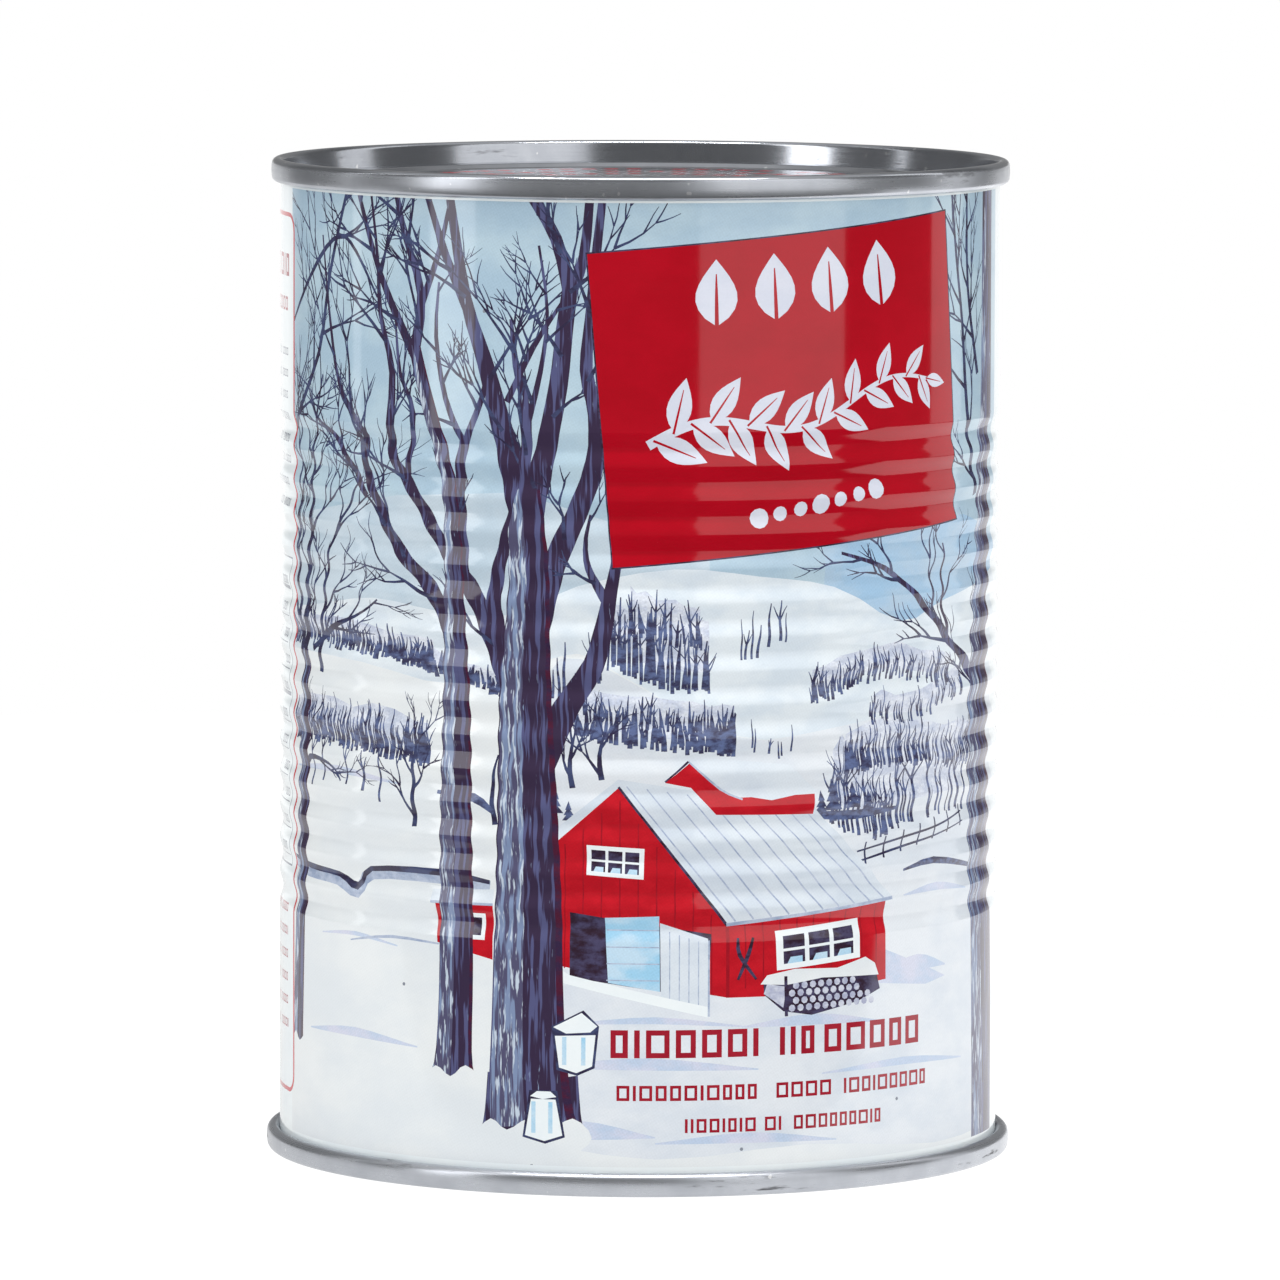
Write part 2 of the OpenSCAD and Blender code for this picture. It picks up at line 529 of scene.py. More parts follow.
class Ink(Enum):
    """What a field of the sheet is covered with. The value is the finish."""

    SKY = PrintedInk(ink_colour(180, 202, 214), ink_colour(162, 187, 205), 7.0, 0.85, 0.03, 0.2)
    DEEP_SKY = PrintedInk(ink_colour(156, 189, 216), ink_colour(170, 193, 212), 12.0, 0.9, 0.03, 0.2)
    MIST = PrintedInk(ink_colour(196, 210, 220), ink_colour(180, 198, 211), 8.0, 0.9, 0.03, 0.15)
    HILL = PrintedInk(ink_colour(221, 229, 234), ink_colour(207, 218, 227), 14.0, 0.9, 0.02, 0.12)
    SNOW = PrintedInk(ink_colour(227, 231, 232), ink_colour(217, 223, 227), 5.0, 0.9, 0.015, 0.08)
    BLUE_SNOW = PrintedInk(ink_colour(220, 225, 230), ink_colour(205, 213, 222), 7.0, 0.9, 0.02, 0.12)
    DRIFT = PrintedInk(ink_colour(184, 200, 221), ink_colour(205, 208, 224), 16.0, 1.0, 0.04, 0.25)
    HAZE = PrintedInk(ink_colour(186, 194, 212), ink_colour(216, 221, 230), 40.0, 1.0, 0.03, 0.6)
    WOODS = PrintedInk(ink_colour(56, 54, 80), ink_colour(96, 110, 150), 60.0, 0.9, 0.0, 0.5)
    BRANCH = PrintedInk(ink_colour(48, 42, 66), ink_colour(70, 80, 116), 30.0, 0.8, 0.02, 0.4)
    BARK = BarkInk(ink_colour(56, 44, 68), ink_colour(84, 86, 124), ink_colour(140, 158, 190), 0.25, 0.14)
    LIT_BARK = BarkInk(
        ink_colour(82, 80, 108), ink_colour(124, 140, 172), ink_colour(190, 202, 216), 0.26, 0.26
    )
    RED_BARK = PrintedInk(ink_colour(78, 30, 52), ink_colour(52, 38, 66), 40.0, 1.0, 0.02, 0.4)
    PANEL_RED = PrintedInk(ink_colour(172, 4, 27), ink_colour(162, 3, 23), 8.0, 0.8, 0.02, 0.1)
    ORNAMENT = PrintedInk(ink_colour(211, 214, 226), ink_colour(203, 208, 222), 12.0, 0.8, 0.0, 0.1)
    BARN_RED = PrintedInk(ink_colour(190, 24, 38), ink_colour(172, 18, 32), 22.0, 0.8, 0.03, 0.2)
    BOARD_LINE = PrintedInk(ink_colour(146, 20, 34), ink_colour(160, 22, 36), 22.0, 0.8, 0.0, 0.3)
    TEXT_RED = PrintedInk(ink_colour(150, 26, 44), ink_colour(162, 34, 50), 14.0, 0.8, 0.0, 0.15)
    OUTLINE_RED = PrintedInk(ink_colour(196, 50, 62), ink_colour(182, 40, 54), 14.0, 0.8, 0.0, 0.2)
    WHITE = PrintedInk(ink_colour(233, 239, 240), ink_colour(225, 233, 237), 6.0, 0.8, 0.0, 0.05)
    ROOF = PrintedInk(ink_colour(214, 222, 229), ink_colour(198, 208, 219), 9.0, 0.9, 0.02, 0.12)
    PENCIL = PrintedInk(ink_colour(150, 164, 190), ink_colour(184, 194, 212), 50.0, 0.9, 0.0, 0.4)
    DOOR_BLUE = PrintedInk(ink_colour(188, 214, 231), ink_colour(148, 198, 226), 18.0, 0.9, 0.03, 0.2)
    SHADOW = PrintedInk(ink_colour(48, 32, 46), ink_colour(74, 70, 100), 50.0, 0.9, 0.0, 0.5)
    LOG_END = PrintedInk(ink_colour(202, 206, 218), ink_colour(160, 165, 190), 60.0, 0.9, 0.0, 0.3)
    GREY = PrintedInk(ink_colour(120, 126, 138), ink_colour(138, 144, 154), 20.0, 0.8, 0.0, 0.2)
    BARE = Tinplate(gloss=0.24, scuffs=0.3)
    WELD = Tinplate(metal=(0.30, 0.31, 0.34), dull=(0.16, 0.16, 0.18), gloss=0.3, scuffs=0.9)


# ---------------------------------------------------------------------------------------------------
# The flat sheet and what is printed on it
# ---------------------------------------------------------------------------------------------------


def smooth(knots: Sequence[Sequence[float]], steps: int) -> list[tuple[float, ...]]:
    """Runs a smooth curve through a few knots.

    Args:
        knots: The knots, each a tuple of numbers.
        steps: How many pieces each stretch between two knots gets.

    Returns:
        The points of the curve, the knots among them.
    """
    curve = []
    ends = [knots[0], *knots, knots[-1]]
    for before, start, end, after in zip(ends, ends[1:], ends[2:], ends[3:]):
        for step in range(steps):
            t = step / steps
            curve.append(
                tuple(
                    0.5
                    * (
                        2 * b
                        + (c - a) * t
                        + (2 * a - 5 * b + 4 * c - d) * t * t
                        + (3 * b - a - 3 * c + d) * t**3
                    )
                    for a, b, c, d in zip(before, start, end, after)
                )
            )
    curve.append(tuple(knots[-1]))
    return curve


@dataclass
class Sheet:
    """The flat print: outlines filled with ink, of which the last one drawn lies on top."""

    shift: float = 0.0
    inks: list[Ink] = field(default_factory=list)
    outlines: list[list[Point]] = field(default_factory=list)

    def fill(self, ink: Ink, *points: Point) -> None:
        """Fills an outline with ink.

        Args:
            ink: The ink.
            *points: The outline's corners, either way round.
        """
        self.inks.append(ink)
        self.outlines.append([(u + self.shift, v) for u, v in points])

    def covering(self, places: np.ndarray) -> np.ndarray:
        """Finds the last outline that winds round each place.

        Args:
            places: The places, one to a row.

        Returns:
            The outline's number for each place, or -1.
        """
        order = np.argsort(places[:, 0])
        ordered = places[order]
        owners = np.full(len(places), -1)
        for number, outline in enumerate(self.outlines):
            corners = np.array(outline)
            (left, low), (right, high) = corners.min(axis=0), corners.max(axis=0)
            first, last = np.searchsorted(ordered[:, 0], (left, right))
            heights = ordered[first:last, 1]
            near = first + np.flatnonzero((heights > low) & (heights < high))
            u, v = ordered[near, 0, None], ordered[near, 1, None]
            u0, v0 = corners.T
            u1, v1 = np.roll(corners, -1, axis=0).T
            side = (u1 - u0) * (v - v0) - (u - u0) * (v1 - v0)
            upward = (v0 <= v) & (v1 > v) & (side > 0)
            downward = (v0 > v) & (v1 <= v) & (side < 0)
            owners[near[upward.sum(axis=1) != downward.sum(axis=1)]] = number
        found = np.empty_like(owners)
        found[order] = owners
        return found

    def stroke(self, ink: Ink, *knots: Knot, steps: int = 3) -> None:
        """Draws one stroke of a brush.

        Args:
            ink: The ink.
            *knots: Points of the stroke, each with the stroke's width there.
            steps: How many pieces each stretch between two knots gets.
        """
        curve = smooth(knots, steps)
        left, right = [], []
        for i, (u, v, width) in enumerate(curve):
            before, after = curve[max(i - 1, 0)], curve[min(i + 1, len(curve) - 1)]
            along = Vector((after[0] - before[0], after[1] - before[1])).normalized()
            left.append((u - along.y * width / 2, v + along.x * width / 2))
            right.append((u + along.y * width / 2, v - along.x * width / 2))
        self.fill(ink, *left, *reversed(right))

    def disc(self, ink: Ink, centre: Point, radius: float, corners: int = 8) -> None:
        """Fills a small round spot."""
        turns = (math.tau * i / corners for i in range(corners))
        self.fill(
            ink, *((centre[0] + radius * math.cos(t), centre[1] + radius * math.sin(t)) for t in turns)
        )

    def block(
        self, ink: Ink, left: float, right: float, low: float, high: float, corner: float = 0.0
    ) -> None:
        """Fills an upright rectangle.

        Args:
            ink: The ink.
            left: Its left side.
            right: Its right side.
            low: Its lower side.
            high: Its upper side.
            corner: Radius of its round corners.
        """
        if not corner:
            self.fill(ink, (left, low), (right, low), (right, high), (left, high))
            return
        centres = ((right, high, 0), (left, high, 90), (left, low, 180), (right, low, 270))
        points = []
        for u, v, start in centres:
            u += corner if u == left else -corner
            v += corner if v == low else -corner
            angles = (math.radians(start + 90 * i / 5) for i in range(6))
            points.extend((u + corner * math.cos(a), v + corner * math.sin(a)) for a in angles)
        self.fill(ink, *points)


@dataclass
class Woods:
    """The bare winter trees: limbs given one by one, and the twigs that grow from them by chance."""

    sheet: Sheet
    chance: random.Random

    def twig(self, ink: Ink, start: Point, heading: float, length: float, width: float, forks: int) -> None:
        """Draws a twig and the twigs that fork from it.

        Args:
            ink: The ink.
            start: Where the twig leaves its limb.
            heading: Its direction in radians, a quarter turn being straight up.
            length: Its length.
            width: Its width at the start.
            forks: How many times it forks again.
        """
        knots = [(*start, width)]
        for i in (1, 2, 3):
            heading += self.chance.uniform(-0.16, 0.16) + 0.05 * (math.pi / 2 - heading)
            u, v, _ = knots[-1]
            reach = length / 3
            knots.append((
                u + reach * math.cos(heading), v + reach * math.sin(heading), width * (1 - 0.22 * i)
            ))
        self.sheet.stroke(ink, *knots, steps=1)
        if forks:
            for side, knot in ((-1, knots[-1]), (1, knots[-1]), (self.chance.choice((-1, 1)), knots[2])):
                turn = side * self.chance.uniform(0.18, 0.55)
                shorter = length * self.chance.uniform(0.5, 0.8)
                self.twig(ink, knot[:2], heading + turn, shorter, width * 0.62, forks - 1)

    def limb(self, ink: Ink, *knots: Knot, twigs: int = 0, reach: float = 9.0) -> None:
        """Draws a limb and the twigs along it.

        Args:
            ink: The ink.
            *knots: Points of the limb, each with the limb's width there.
            twigs: How many twigs leave it.
            reach: Length of a twig.
        """
        self.sheet.stroke(ink, *knots)
        curve = smooth(knots, 4)
        for i in range(twigs):
            spot = int((i + self.chance.uniform(0.3, 0.9)) / twigs * (len(curve) - 2)) + 1
            u, v, width = curve[spot]
            along = math.atan2(v - curve[spot - 1][1], u - curve[spot - 1][0])
            turn = (-1 if i % 2 else 1) * self.chance.uniform(0.35, 0.8)
            length = reach * self.chance.uniform(0.6, 1.2)
            self.twig(Ink.BRANCH, (u, v), along + turn, length, min(0.55, 0.5 * width + 0.14), 2)

    def trunk(self, *knots: Knot) -> None:
        """Draws a trunk with light on its left side and a dark red edge on its right."""
        self.sheet.stroke(Ink.BARK, *knots)
        lit = [(u - 0.27 * w, v, 0.42 * w) for u, v, w in knots[:-1]]
        lit.append((knots[-1][0] - 0.2 * knots[-1][2], knots[-1][1], 0.1))
        self.sheet.stroke(Ink.LIT_BARK, *lit)
        edge = [(u + 0.46 * w, v, 0.10 * w) for u, v, w in knots]
        self.sheet.stroke(Ink.RED_BARK, *edge)

    def row(
        self, feet: Sequence[Point], count: int, height: float, width: float = 0.34, twigs: float = 0.3
    ) -> None:
        """Draws a row of small far trees along a line.

        Args:
            feet: The line that the trees stand on.
            count: How many trees there are.
            height: Their height.
            width: Their width at the foot.
            twigs: The share of them that show branches.
        """
        line = smooth(feet, 6)
        for i in range(count):
            spot = (i + self.chance.uniform(-0.4, 0.4)) / max(count - 1, 1) * (len(line) - 1)
            low = min(max(int(spot), 0), len(line) - 2)
            share = spot - low
            u = line[low][0] * (1 - share) + line[low + 1][0] * share
            v = line[low][1] * (1 - share) + line[low + 1][1] * share + self.chance.uniform(-0.6, 0.5)
            tall = height * self.chance.uniform(0.55, 1.1)
            lean = self.chance.uniform(-0.5, 0.5)
            thick = width * self.chance.uniform(0.6, 1.2)
            self.sheet.stroke(
                Ink.WOODS,
                (u, v, thick),
                (u + lean * 0.3, v + tall * 0.5, thick * 0.8),
                (u + lean, v + tall, thick * 0.3),
                steps=1,
            )
            if self.chance.random() < twigs:
                for side in (-1, 1):
                    heading = math.pi / 2 + side * self.chance.uniform(0.3, 0.7)
                    self.twig(
                        Ink.WOODS, (u + lean * 0.3, v + tall * 0.5), heading, tall * 0.4, thick * 0.6, 0
                    )

    def haze(self, feet: Sequence[Point], height: float) -> None:
        """Lays the pale blur of far twigs behind a row of trees."""
        line = smooth(feet, 4)
        tops = [(u, v + height * self.chance.uniform(0.75, 1.05)) for u, v in reversed(line)]
        self.sheet.fill(Ink.HAZE, *line, *tops)

    def fir(self, foot: Point, height: float) -> None:
        """Draws a small dark fir in three tiers."""
        u, v = foot
        for tier in range(3):
            low = v + height * (0.08 + 0.26 * tier)
            half = height * (0.34 - 0.09 * tier)
            self.sheet.fill(Ink.WOODS, (u - half, low), (u + half, low), (u, low + height * 0.42))


@dataclass
class WinterScene:
    """The picture: a red barn and bare maples in the snow, under a pale sky."""

    sheet: Sheet
    woods: Woods
    left: float = -53.5
    right: float = 57.0
    low: float = 0.0
    high: float = 116.0

    def draw(self) -> None:
        """Draws the whole picture, from the sky to the nearest tree."""
        self.ground()
        self.far_woods()
        self.small_things()
        self.barn()
        self.trees()
        self.buckets()

    def ground(self) -> None:
        """The sky, the hills and the snow with its blue drifts."""
        sheet = self.sheet
        sheet.block(Ink.SKY, self.left, self.right, 60.0, self.high)
        sheet.fill(
            Ink.MIST, (self.left, 62), (-20, 62), (
                8, 62
            ), (8, 73), (-4, 77), (-14, 80), (-30, 79), (self.left, 75)
        )
        sheet.fill(
            Ink.DEEP_SKY, (22.5, 62), (50, 62), (self.right, 66), (self.right, 73), (46, 76), (22, 76)
        )
        hill_line = [
            (self.left, 64.5),
            (-45, 65.5),
            (-34, 67),
            (-24, 66),
            (-15, 66),
            (-7, 69.5),
            (4, 71.5),
            (14, 70.5),
            (23.5, 69),
            (33.5, 64.6),
            (42, 66.5),
            (self.right, 69),
        ]
        sheet.fill(Ink.HILL, (self.left, 40), *((u, v) for u, v in smooth(hill_line, 3)), (self.right, 40))
        ridge = [
            (self.left, 60), (-36, 59.5), (-22, 57.8), (-9, 61.5), (-4, 60.6), (11, 52.5), (24, 53),
            (self.right, 57)
        ]
        sheet.fill(Ink.SNOW, (self.left, 30), *smooth(ridge, 3), (self.right, 30))
        sheet.block(Ink.SNOW, self.left, self.right, self.low, 34.0)
        ground = [(-9, 61.2), (-4, 60.4), (11, 52.4), (24, 53), (self.right, 57)]
        sheet.fill(Ink.BLUE_SNOW, (-12, 0), (-13, 40), (-12.5, 57), *smooth(ground, 3), (self.right, 0))
        sheet.fill(
            Ink.SNOW, (-13, 0),
            *smooth([(-13, 6.2), (2, 4.2), (20, 5.4), (40, 3.8), (self.right, 4.6)], 3), (self.right, 0)
        )
        for start, end, v, width in (
            (-52, -30, 46.2, 0.9),
            (-47, -27, 16.2, 1.1),
            (-44, -30, 27.6, 0.5),
            (-16, 2, 7.0, 2.2),
            (-12, 14, 14.6, 1.4),
            (2, 24, 6.0, 1.2),
            (-8, 12, 19.6, 0.8),
            (31, 42, 24.6, 1.8),
            (34, 47, 33.0, 0.9),
            (12, 30, 19.2, 1.3),
            (22, 46, 13.4, 0.9),
        ):
            middle = (start + end) / 2
            sheet.stroke(
                Ink.DRIFT, (start, v, 0.15), (middle, v + 0.5, width), (end, v - 0.3, 0.15), steps=4
            )

    def far_woods(self) -> None:
        """The rows and groves of small trees on the hills."""
        woods = self.woods
        rows = (
            (((-53, 60.8), (-38, 61), (-25, 59.3)), 62, 3.6, 0.42, 0.1),
            (((-25, 59.2), (-20, 58.0), (-16, 56.6)), 16, 2.6, 0.5, 0.0),
            (((-10, 56.5), (-6, 57.5), (-3, 60.0)), 10, 5.5, 0.3, 0.2),
            (((-3, 60.6), (2, 58.2), (8, 57.6)), 24, 8.4, 0.36, 0.5),
            (((-1, 64.5), (3, 63.2), (7, 62.4)), 13, 5.2, 0.3, 0.4),
            (((12, 61.2), (14, 61.4), (17, 63.2)), 7, 6.0, 0.28, 0.5),
            (((-7, 52.6), (4, 51), (11, 50.6)), 40, 4.6, 0.42, 0.25),
            (((-6, 54.6), (4, 53), (11, 52.4)), 26, 3.6, 0.3, 0.2),
            (((13, 50.6), (18, 50)), 6, 3.0, 0.24, 0.1),
            (((20.5, 55.8), (30, 58.2), (43, 56.4)), 34, 4.2, 0.3, 0.35),
            (((29, 53.4), (37, 53.2), (46, 55.4)), 16, 3.6, 0.3, 0.3),
            (((25, 47.6), (34, 48.2), (48, 47.0)), 40, 5.4, 0.32, 0.4),
            (((23.5, 41.6), (29, 40.2), (34, 41.2), (46, 42.0)), 19, 10.5, 0.4, 0.8),
            (((-52, 49.6), (-38, 49.6), (-25.5, 48.6)), 58, 5.4, 0.38, 0.3),
            (((-47, 44.6), (-40, 45.2), (-33, 44.0)), 5, 8.0, 0.42, 0.9),
        )
        for feet, count, height, width, twigs in rows:
            if count > 12:
                woods.haze([(u, v + height * 0.25) for u, v in feet], height * 0.75)
        for feet, count, height, width, twigs in rows:
            if count > 12:
                woods.row([(u, v + 0.3) for u, v in feet], count, height * 0.55, width, 0.0)
            woods.row(feet, count, height, width * 1.25, twigs)
        for foot, height, twigs in (
            ((-27.6, 41.2), 12.0, 5), ((-16.9, 42), 8.0, 0), ((-7.6, 46.5), 6.5, 3),
            ((-4.2, 47.5), 5.5, 3)
        ):
            u, v = foot
            woods.limb(
                Ink.BRANCH, (u, v, 0.7), (
                    u - 0.3, v + height / 2, 0.5
                ), (u + 0.4, v + height, 0.2), twigs=twigs, reach=3.5
            )

    def small_things(self) -> None:
        """The brook, the fences, the firs and the shed."""
        sheet = self.sheet
        brook = (
            (-52.5, 35.6, 0.5), (-48, 34.9, 0.7), (-40.8, 34.6, 0.6), (-36.8, 33.6, 0.9),
            (-34.4, 35.8, 0.6), (-24, 36.2, 0.8), (-17.5, 35.4, 0.5)
        )
        sheet.stroke(Ink.PENCIL, *((u, v - 0.5, w + 0.9) for u, v, w in brook))
        sheet.stroke(Ink.BRANCH, *brook)
        sheet.stroke(Ink.PENCIL, (-38, 27.3, 0.15), (-31, 28.3, 0.35), (-24, 28.0, 0.2))
        for rail in (0.0, 1.1):
            sheet.stroke(
                Ink.BRANCH, (27, 37.4 + rail, 0.2), (34, 38.6 + rail, 0.3), (40, 39.4 + rail, 0.25),
                (46, 40.6 + rail, 0.15)
            )
        for post in range(7):
            u = 28 + 2.9 * post
            sheet.stroke(
                Ink.BRANCH, (u, 36.9 + 0.17 * (u - 27), 0.3), (u + 0.2, 39.4 + 0.17 * (u - 27), 0.22),
                steps=1
            )
        sheet.stroke(Ink.WOODS, (34, 35.9, 0.3), (39.5, 36.6, 0.8), (48.5, 35.2, 0.5))
        for foot, height in (
            ((-9.6, 43.4), 3.0), ((-8.0, 42.6), 2.4), ((23.4, 43.2), 3.9), ((26.2, 43.4), 3.2),
            ((28.4, 43.0), 2.6), ((21.8, 43.0), 2.8)
        ):
            self.woods.fir(foot, height)
        sheet.stroke(Ink.WOODS, (21.5, 43.0, 0.9), (27, 42.8, 1.1), (33, 43.2, 0.4))
        sheet.stroke(Ink.WOODS, (-24.4, 45.4, 0.4), (-19.5, 45.0, 1.0), (-17, 43.4, 0.6))
        sheet.fill(Ink.BARN_RED, (-24.5, 32.8), (-17, 33.0), (-17, 26.6), (-24.2, 28.2))
        sheet.fill(Ink.ROOF, (-25, 34.2), (-17, 34.6), (-17, 32.9), (-25.2, 32.8))
        sheet.stroke(Ink.PENCIL, (-25.2, 32.8, 0.3), (-17, 32.9, 0.3), steps=1)
        sheet.block(Ink.WHITE, -20.4, -18.0, 28.8, 31.8)
        sheet.block(Ink.SHADOW, -19.9, -18.5, 29.3, 31.3)
        for spot in ((-18.2, 100.4), (-29.0, 23.0), (12.0, 5.2), (-7.5, 2.9), (-12.2, 3.2), (33, 9.6)):
            sheet.disc(Ink.GREY, spot, 0.22, 6)

    def barn(self) -> None:
        """The red barn with its snowy roofs, windows, doors and woodpile."""
        sheet = self.sheet
        sheet.fill(Ink.DRIFT, (31, 27.0), (42, 23.0), (38, 22.4), (30, 23.2))
        sheet.fill(
            Ink.ROOF, (-2.3, 47.6), (20.8, 44.0), (32.2, 33.0), (10.3, 30.9), (-2.3, 46.4), (-10.8, 39.6),
            (-10.8, 40.8)
        )
        sheet.fill(Ink.BARN_RED, (-2.3, 46.6), (10.3, 31.0), (10.3, 22.6), (-9.8, 26.4), (-9.8, 40.0))
        sheet.fill(Ink.BARN_RED, (10.3, 31.0), (31.0, 32.6), (31.1, 23.6), (20, 22.6), (10.3, 22.6))
        for line in range(9):
            u = -8.4 + 2.1 * line
            top = 46.2 - 1.24 * abs(u + 2.3) if u > -2.3 else 46.2 - 0.86 * abs(u + 2.3)
            sheet.stroke(Ink.BOARD_LINE, (u, 26.0 - 0.18 * (u + 8.4), 0.16), (u, top - 0.8, 0.16), steps=1)
        for line in range(9):
            u = 12.4 + 2.15 * line
            sheet.stroke(Ink.BOARD_LINE, (u, 23.6, 0.16), (u, 31.0 + 0.07 * (u - 10.3), 0.16), steps=1)
        sheet.stroke(Ink.SHADOW, (-2.3, 46.7, 0.28), (10.3, 30.8, 0.34), steps=1)
        sheet.stroke(Ink.PENCIL, (10.2, 30.9, 0.4), (32.1, 32.9, 0.4), steps=1)
        sheet.stroke(Ink.BOARD_LINE, (10.3, 30.6, 0.4), (10.3, 22.6, 0.4), steps=1)
        for seam in range(10):
            top = Vector((-2.3, 46.9)).lerp(Vector((20.8, 43.8)), (seam + 0.4) / 10)
            foot = Vector((10.4, 31.2)).lerp(Vector((32.0, 33.1)), (seam + 0.4) / 10)
            sheet.stroke(Ink.PENCIL, (*top, 0.14), (*foot, 0.2), steps=1)
        self.cupola()
        self.window((-5.9, 40.1), (0.7, 39.7), (0.6, 36.2), (-5.9, 36.7))
        self.window((16.0, 30.0), (27.1, 30.9), (27.2, 26.4), (16.2, 25.5))
        self.doorway()
        self.woodpile()

    def cupola(self) -> None:
        """The long ridge vent with snow on its top."""
        sheet = self.sheet
        sheet.fill(
            Ink.BARN_RED, (3.0, 47.2), (5.8, 49.4), (9.2, 46.4), (11.4, 45.4), (21.0, 45.5), (20.8, 43.2),
            (8.9, 43.5), (6.0, 46.6)
        )
        sheet.fill(
            Ink.ROOF, (5.6, 49.8), (9.2, 49.9), (17.6, 49.0), (21.2, 45.9), (18, 45.4), (15.5, 45.0),
            (12, 45.6), (9.4, 46.7)
        )
        sheet.stroke(Ink.PENCIL, (5.7, 49.6, 0.2), (9.4, 46.4, 0.25), (12, 45.2, 0.2))
        sheet.stroke(Ink.SHADOW, (3.0, 47.3, 0.2), (5.7, 49.6, 0.25), steps=1)

    def window(self, *corners: Point) -> None:
        """Draws a white window frame with two rows of three dark panes.

        Args:
            *corners: The frame's upper left, upper right, lower right and lower left corners.
        """
        sheet = self.sheet
        sheet.fill(Ink.WHITE, *corners)
        top_left, top_right, low_right, low_left = (Vector(c) for c in corners)

        def spot(across: float, up: float) -> Point:
            """Finds a place in the frame by its share of the width and of the height."""
            return tuple(low_left.lerp(low_right, across).lerp(top_left.lerp(top_right, across), up))

        for column in range(3):
            for tier in range(2):
                a, b = 0.08 + 0.295 * column, 0.325 + 0.295 * column
                c, d = 0.14 + 0.39 * tier, 0.46 + 0.39 * tier
                sheet.fill(Ink.SHADOW, spot(a, c), spot(b, c), spot(b, d), spot(a, d))
                if tier == 0:
                    middle = (c + d) / 2
                    sheet.fill(
                        Ink.DOOR_BLUE, spot(a + 0.04, c), spot(b - 0.03, c), spot(b - 0.03, middle),
                        spot(a + 0.08, middle)
                    )

    def doorway(self) -> None:
        """The dark doorway with one blue and one white leaf swung open."""
        sheet = self.sheet
        sheet.fill(Ink.SHADOW, (-7.8, 32.4), (8.4, 29.9), (7.9, 22.6), (-7.8, 25.0))
        sheet.fill(Ink.DOOR_BLUE, (-3.8, 31.8), (2.4, 32.0), (2.5, 23.4), (-3.4, 24.4))
        for plank in range(4):
            v = 30.4 - 1.9 * plank
            sheet.stroke(Ink.PENCIL, (-3.6, v, 0.14), (2.4, v - 0.05, 0.14), steps=1)
        sheet.fill(Ink.ROOF, (2.5, 31.2), (8.0, 29.4), (8.0, 20.6), (2.6, 22.2))
        for plank in range(4):
            u = 3.6 + 1.1 * plank
            sheet.stroke(
                Ink.PENCIL, (u, 30.4 - 0.33 * (u - 3), 0.12), (u, 22.0 - 0.28 * (u - 3), 0.12), steps=1
            )
        sheet.fill(Ink.WHITE, (-9.8, 26.4), (-7.8, 25.2), (8.0, 21.6), (8, 20.4), (-10, 24.6))
        sheet.stroke(Ink.PENCIL, (8.1, 29.2, 0.2), (8.1, 20.5, 0.25), steps=1)
        for side in (-1, 1):
            sheet.stroke(
                Ink.SHADOW, (12.4 + side * 0.9, 29.4, 0.3), (12.2 + side * 0.5, 27.4, 0.5),
                (12.6 - side * 1.1, 24.6, 0.3)
            )

    def woodpile(self) -> None:
        """Stacked logs under a cap of snow beside the wall."""
        sheet = self.sheet
        sheet.fill(
            Ink.SHADOW, (14.6, 24.2), (29.6, 24.6), (30.2, 22.6), (27.0, 21.4), (20.6, 20.2),
            (17.0, 20.8), (14.6, 22.8)
        )
        for tier in range(4):
            for place in range(11 - tier):
                u = 18.1 + 1.08 * place + 0.5 * (tier % 2)
                v = 21.1 + 0.86 * tier + 0.03 * place
                self.sheet.disc(Ink.LOG_END, (u, v), 0.42, 7)
        sheet.fill(
            Ink.SNOW, (14.2, 24.0), (15, 25.0), (18.5, 25.6), (24, 25.4), (28, 26.4), (29.4, 25.6),
            (30, 24.2), (22, 24.4), (17.4, 23.8)
        )
        sheet.fill(Ink.LOG_END, (14.6, 22.9), (17.0, 21.2), (17.4, 23.6), (15, 24.0))
        sheet.stroke(Ink.SHADOW, (17.4, 20.2, 0.4), (17.3, 24.8, 0.4), steps=1)

    def trees(self) -> None:
        """The near maples, whose limbs reach up past the top of the picture."""
        woods = self.woods
        woods.limb(
            Ink.BRANCH, (-54, 84, 0.6), (-51, 87, 0.7), (-45, 94.4, 0.7), (-42.3, 103.9, 0.6),
            (-38.5, 114, 0.5), twigs=6, reach=8
        )
        woods.limb(
            Ink.BRANCH, (-53, 97.4, 0.4), (-45, 105.2, 0.6), (-40.2, 108.1, 0.5), (-37, 106.4, 0.45),
            (-33.3, 101.4, 0.3), twigs=4, reach=6
        )
        woods.limb(
            Ink.BRANCH, (-45, 57.6, 0.9), (-44.2, 64.4, 0.7), (-42.6, 72.1, 0.5), (-40.2, 75.3, 0.45),
            (-36.1, 80.8, 0.25), twigs=6, reach=6
        )
        woods.limb(
            Ink.BRANCH, (-46.5, 60.2, 0.8), (-42, 63.0, 0.7), (-37.5, 64.6, 0.4), (-33.5, 66.8, 0.2),
            twigs=4, reach=5
        )
        self.left_edge_tree()
        self.second_tree()
        self.main_tree()
        self.snow_at_feet()
        self.right_edge_tree()

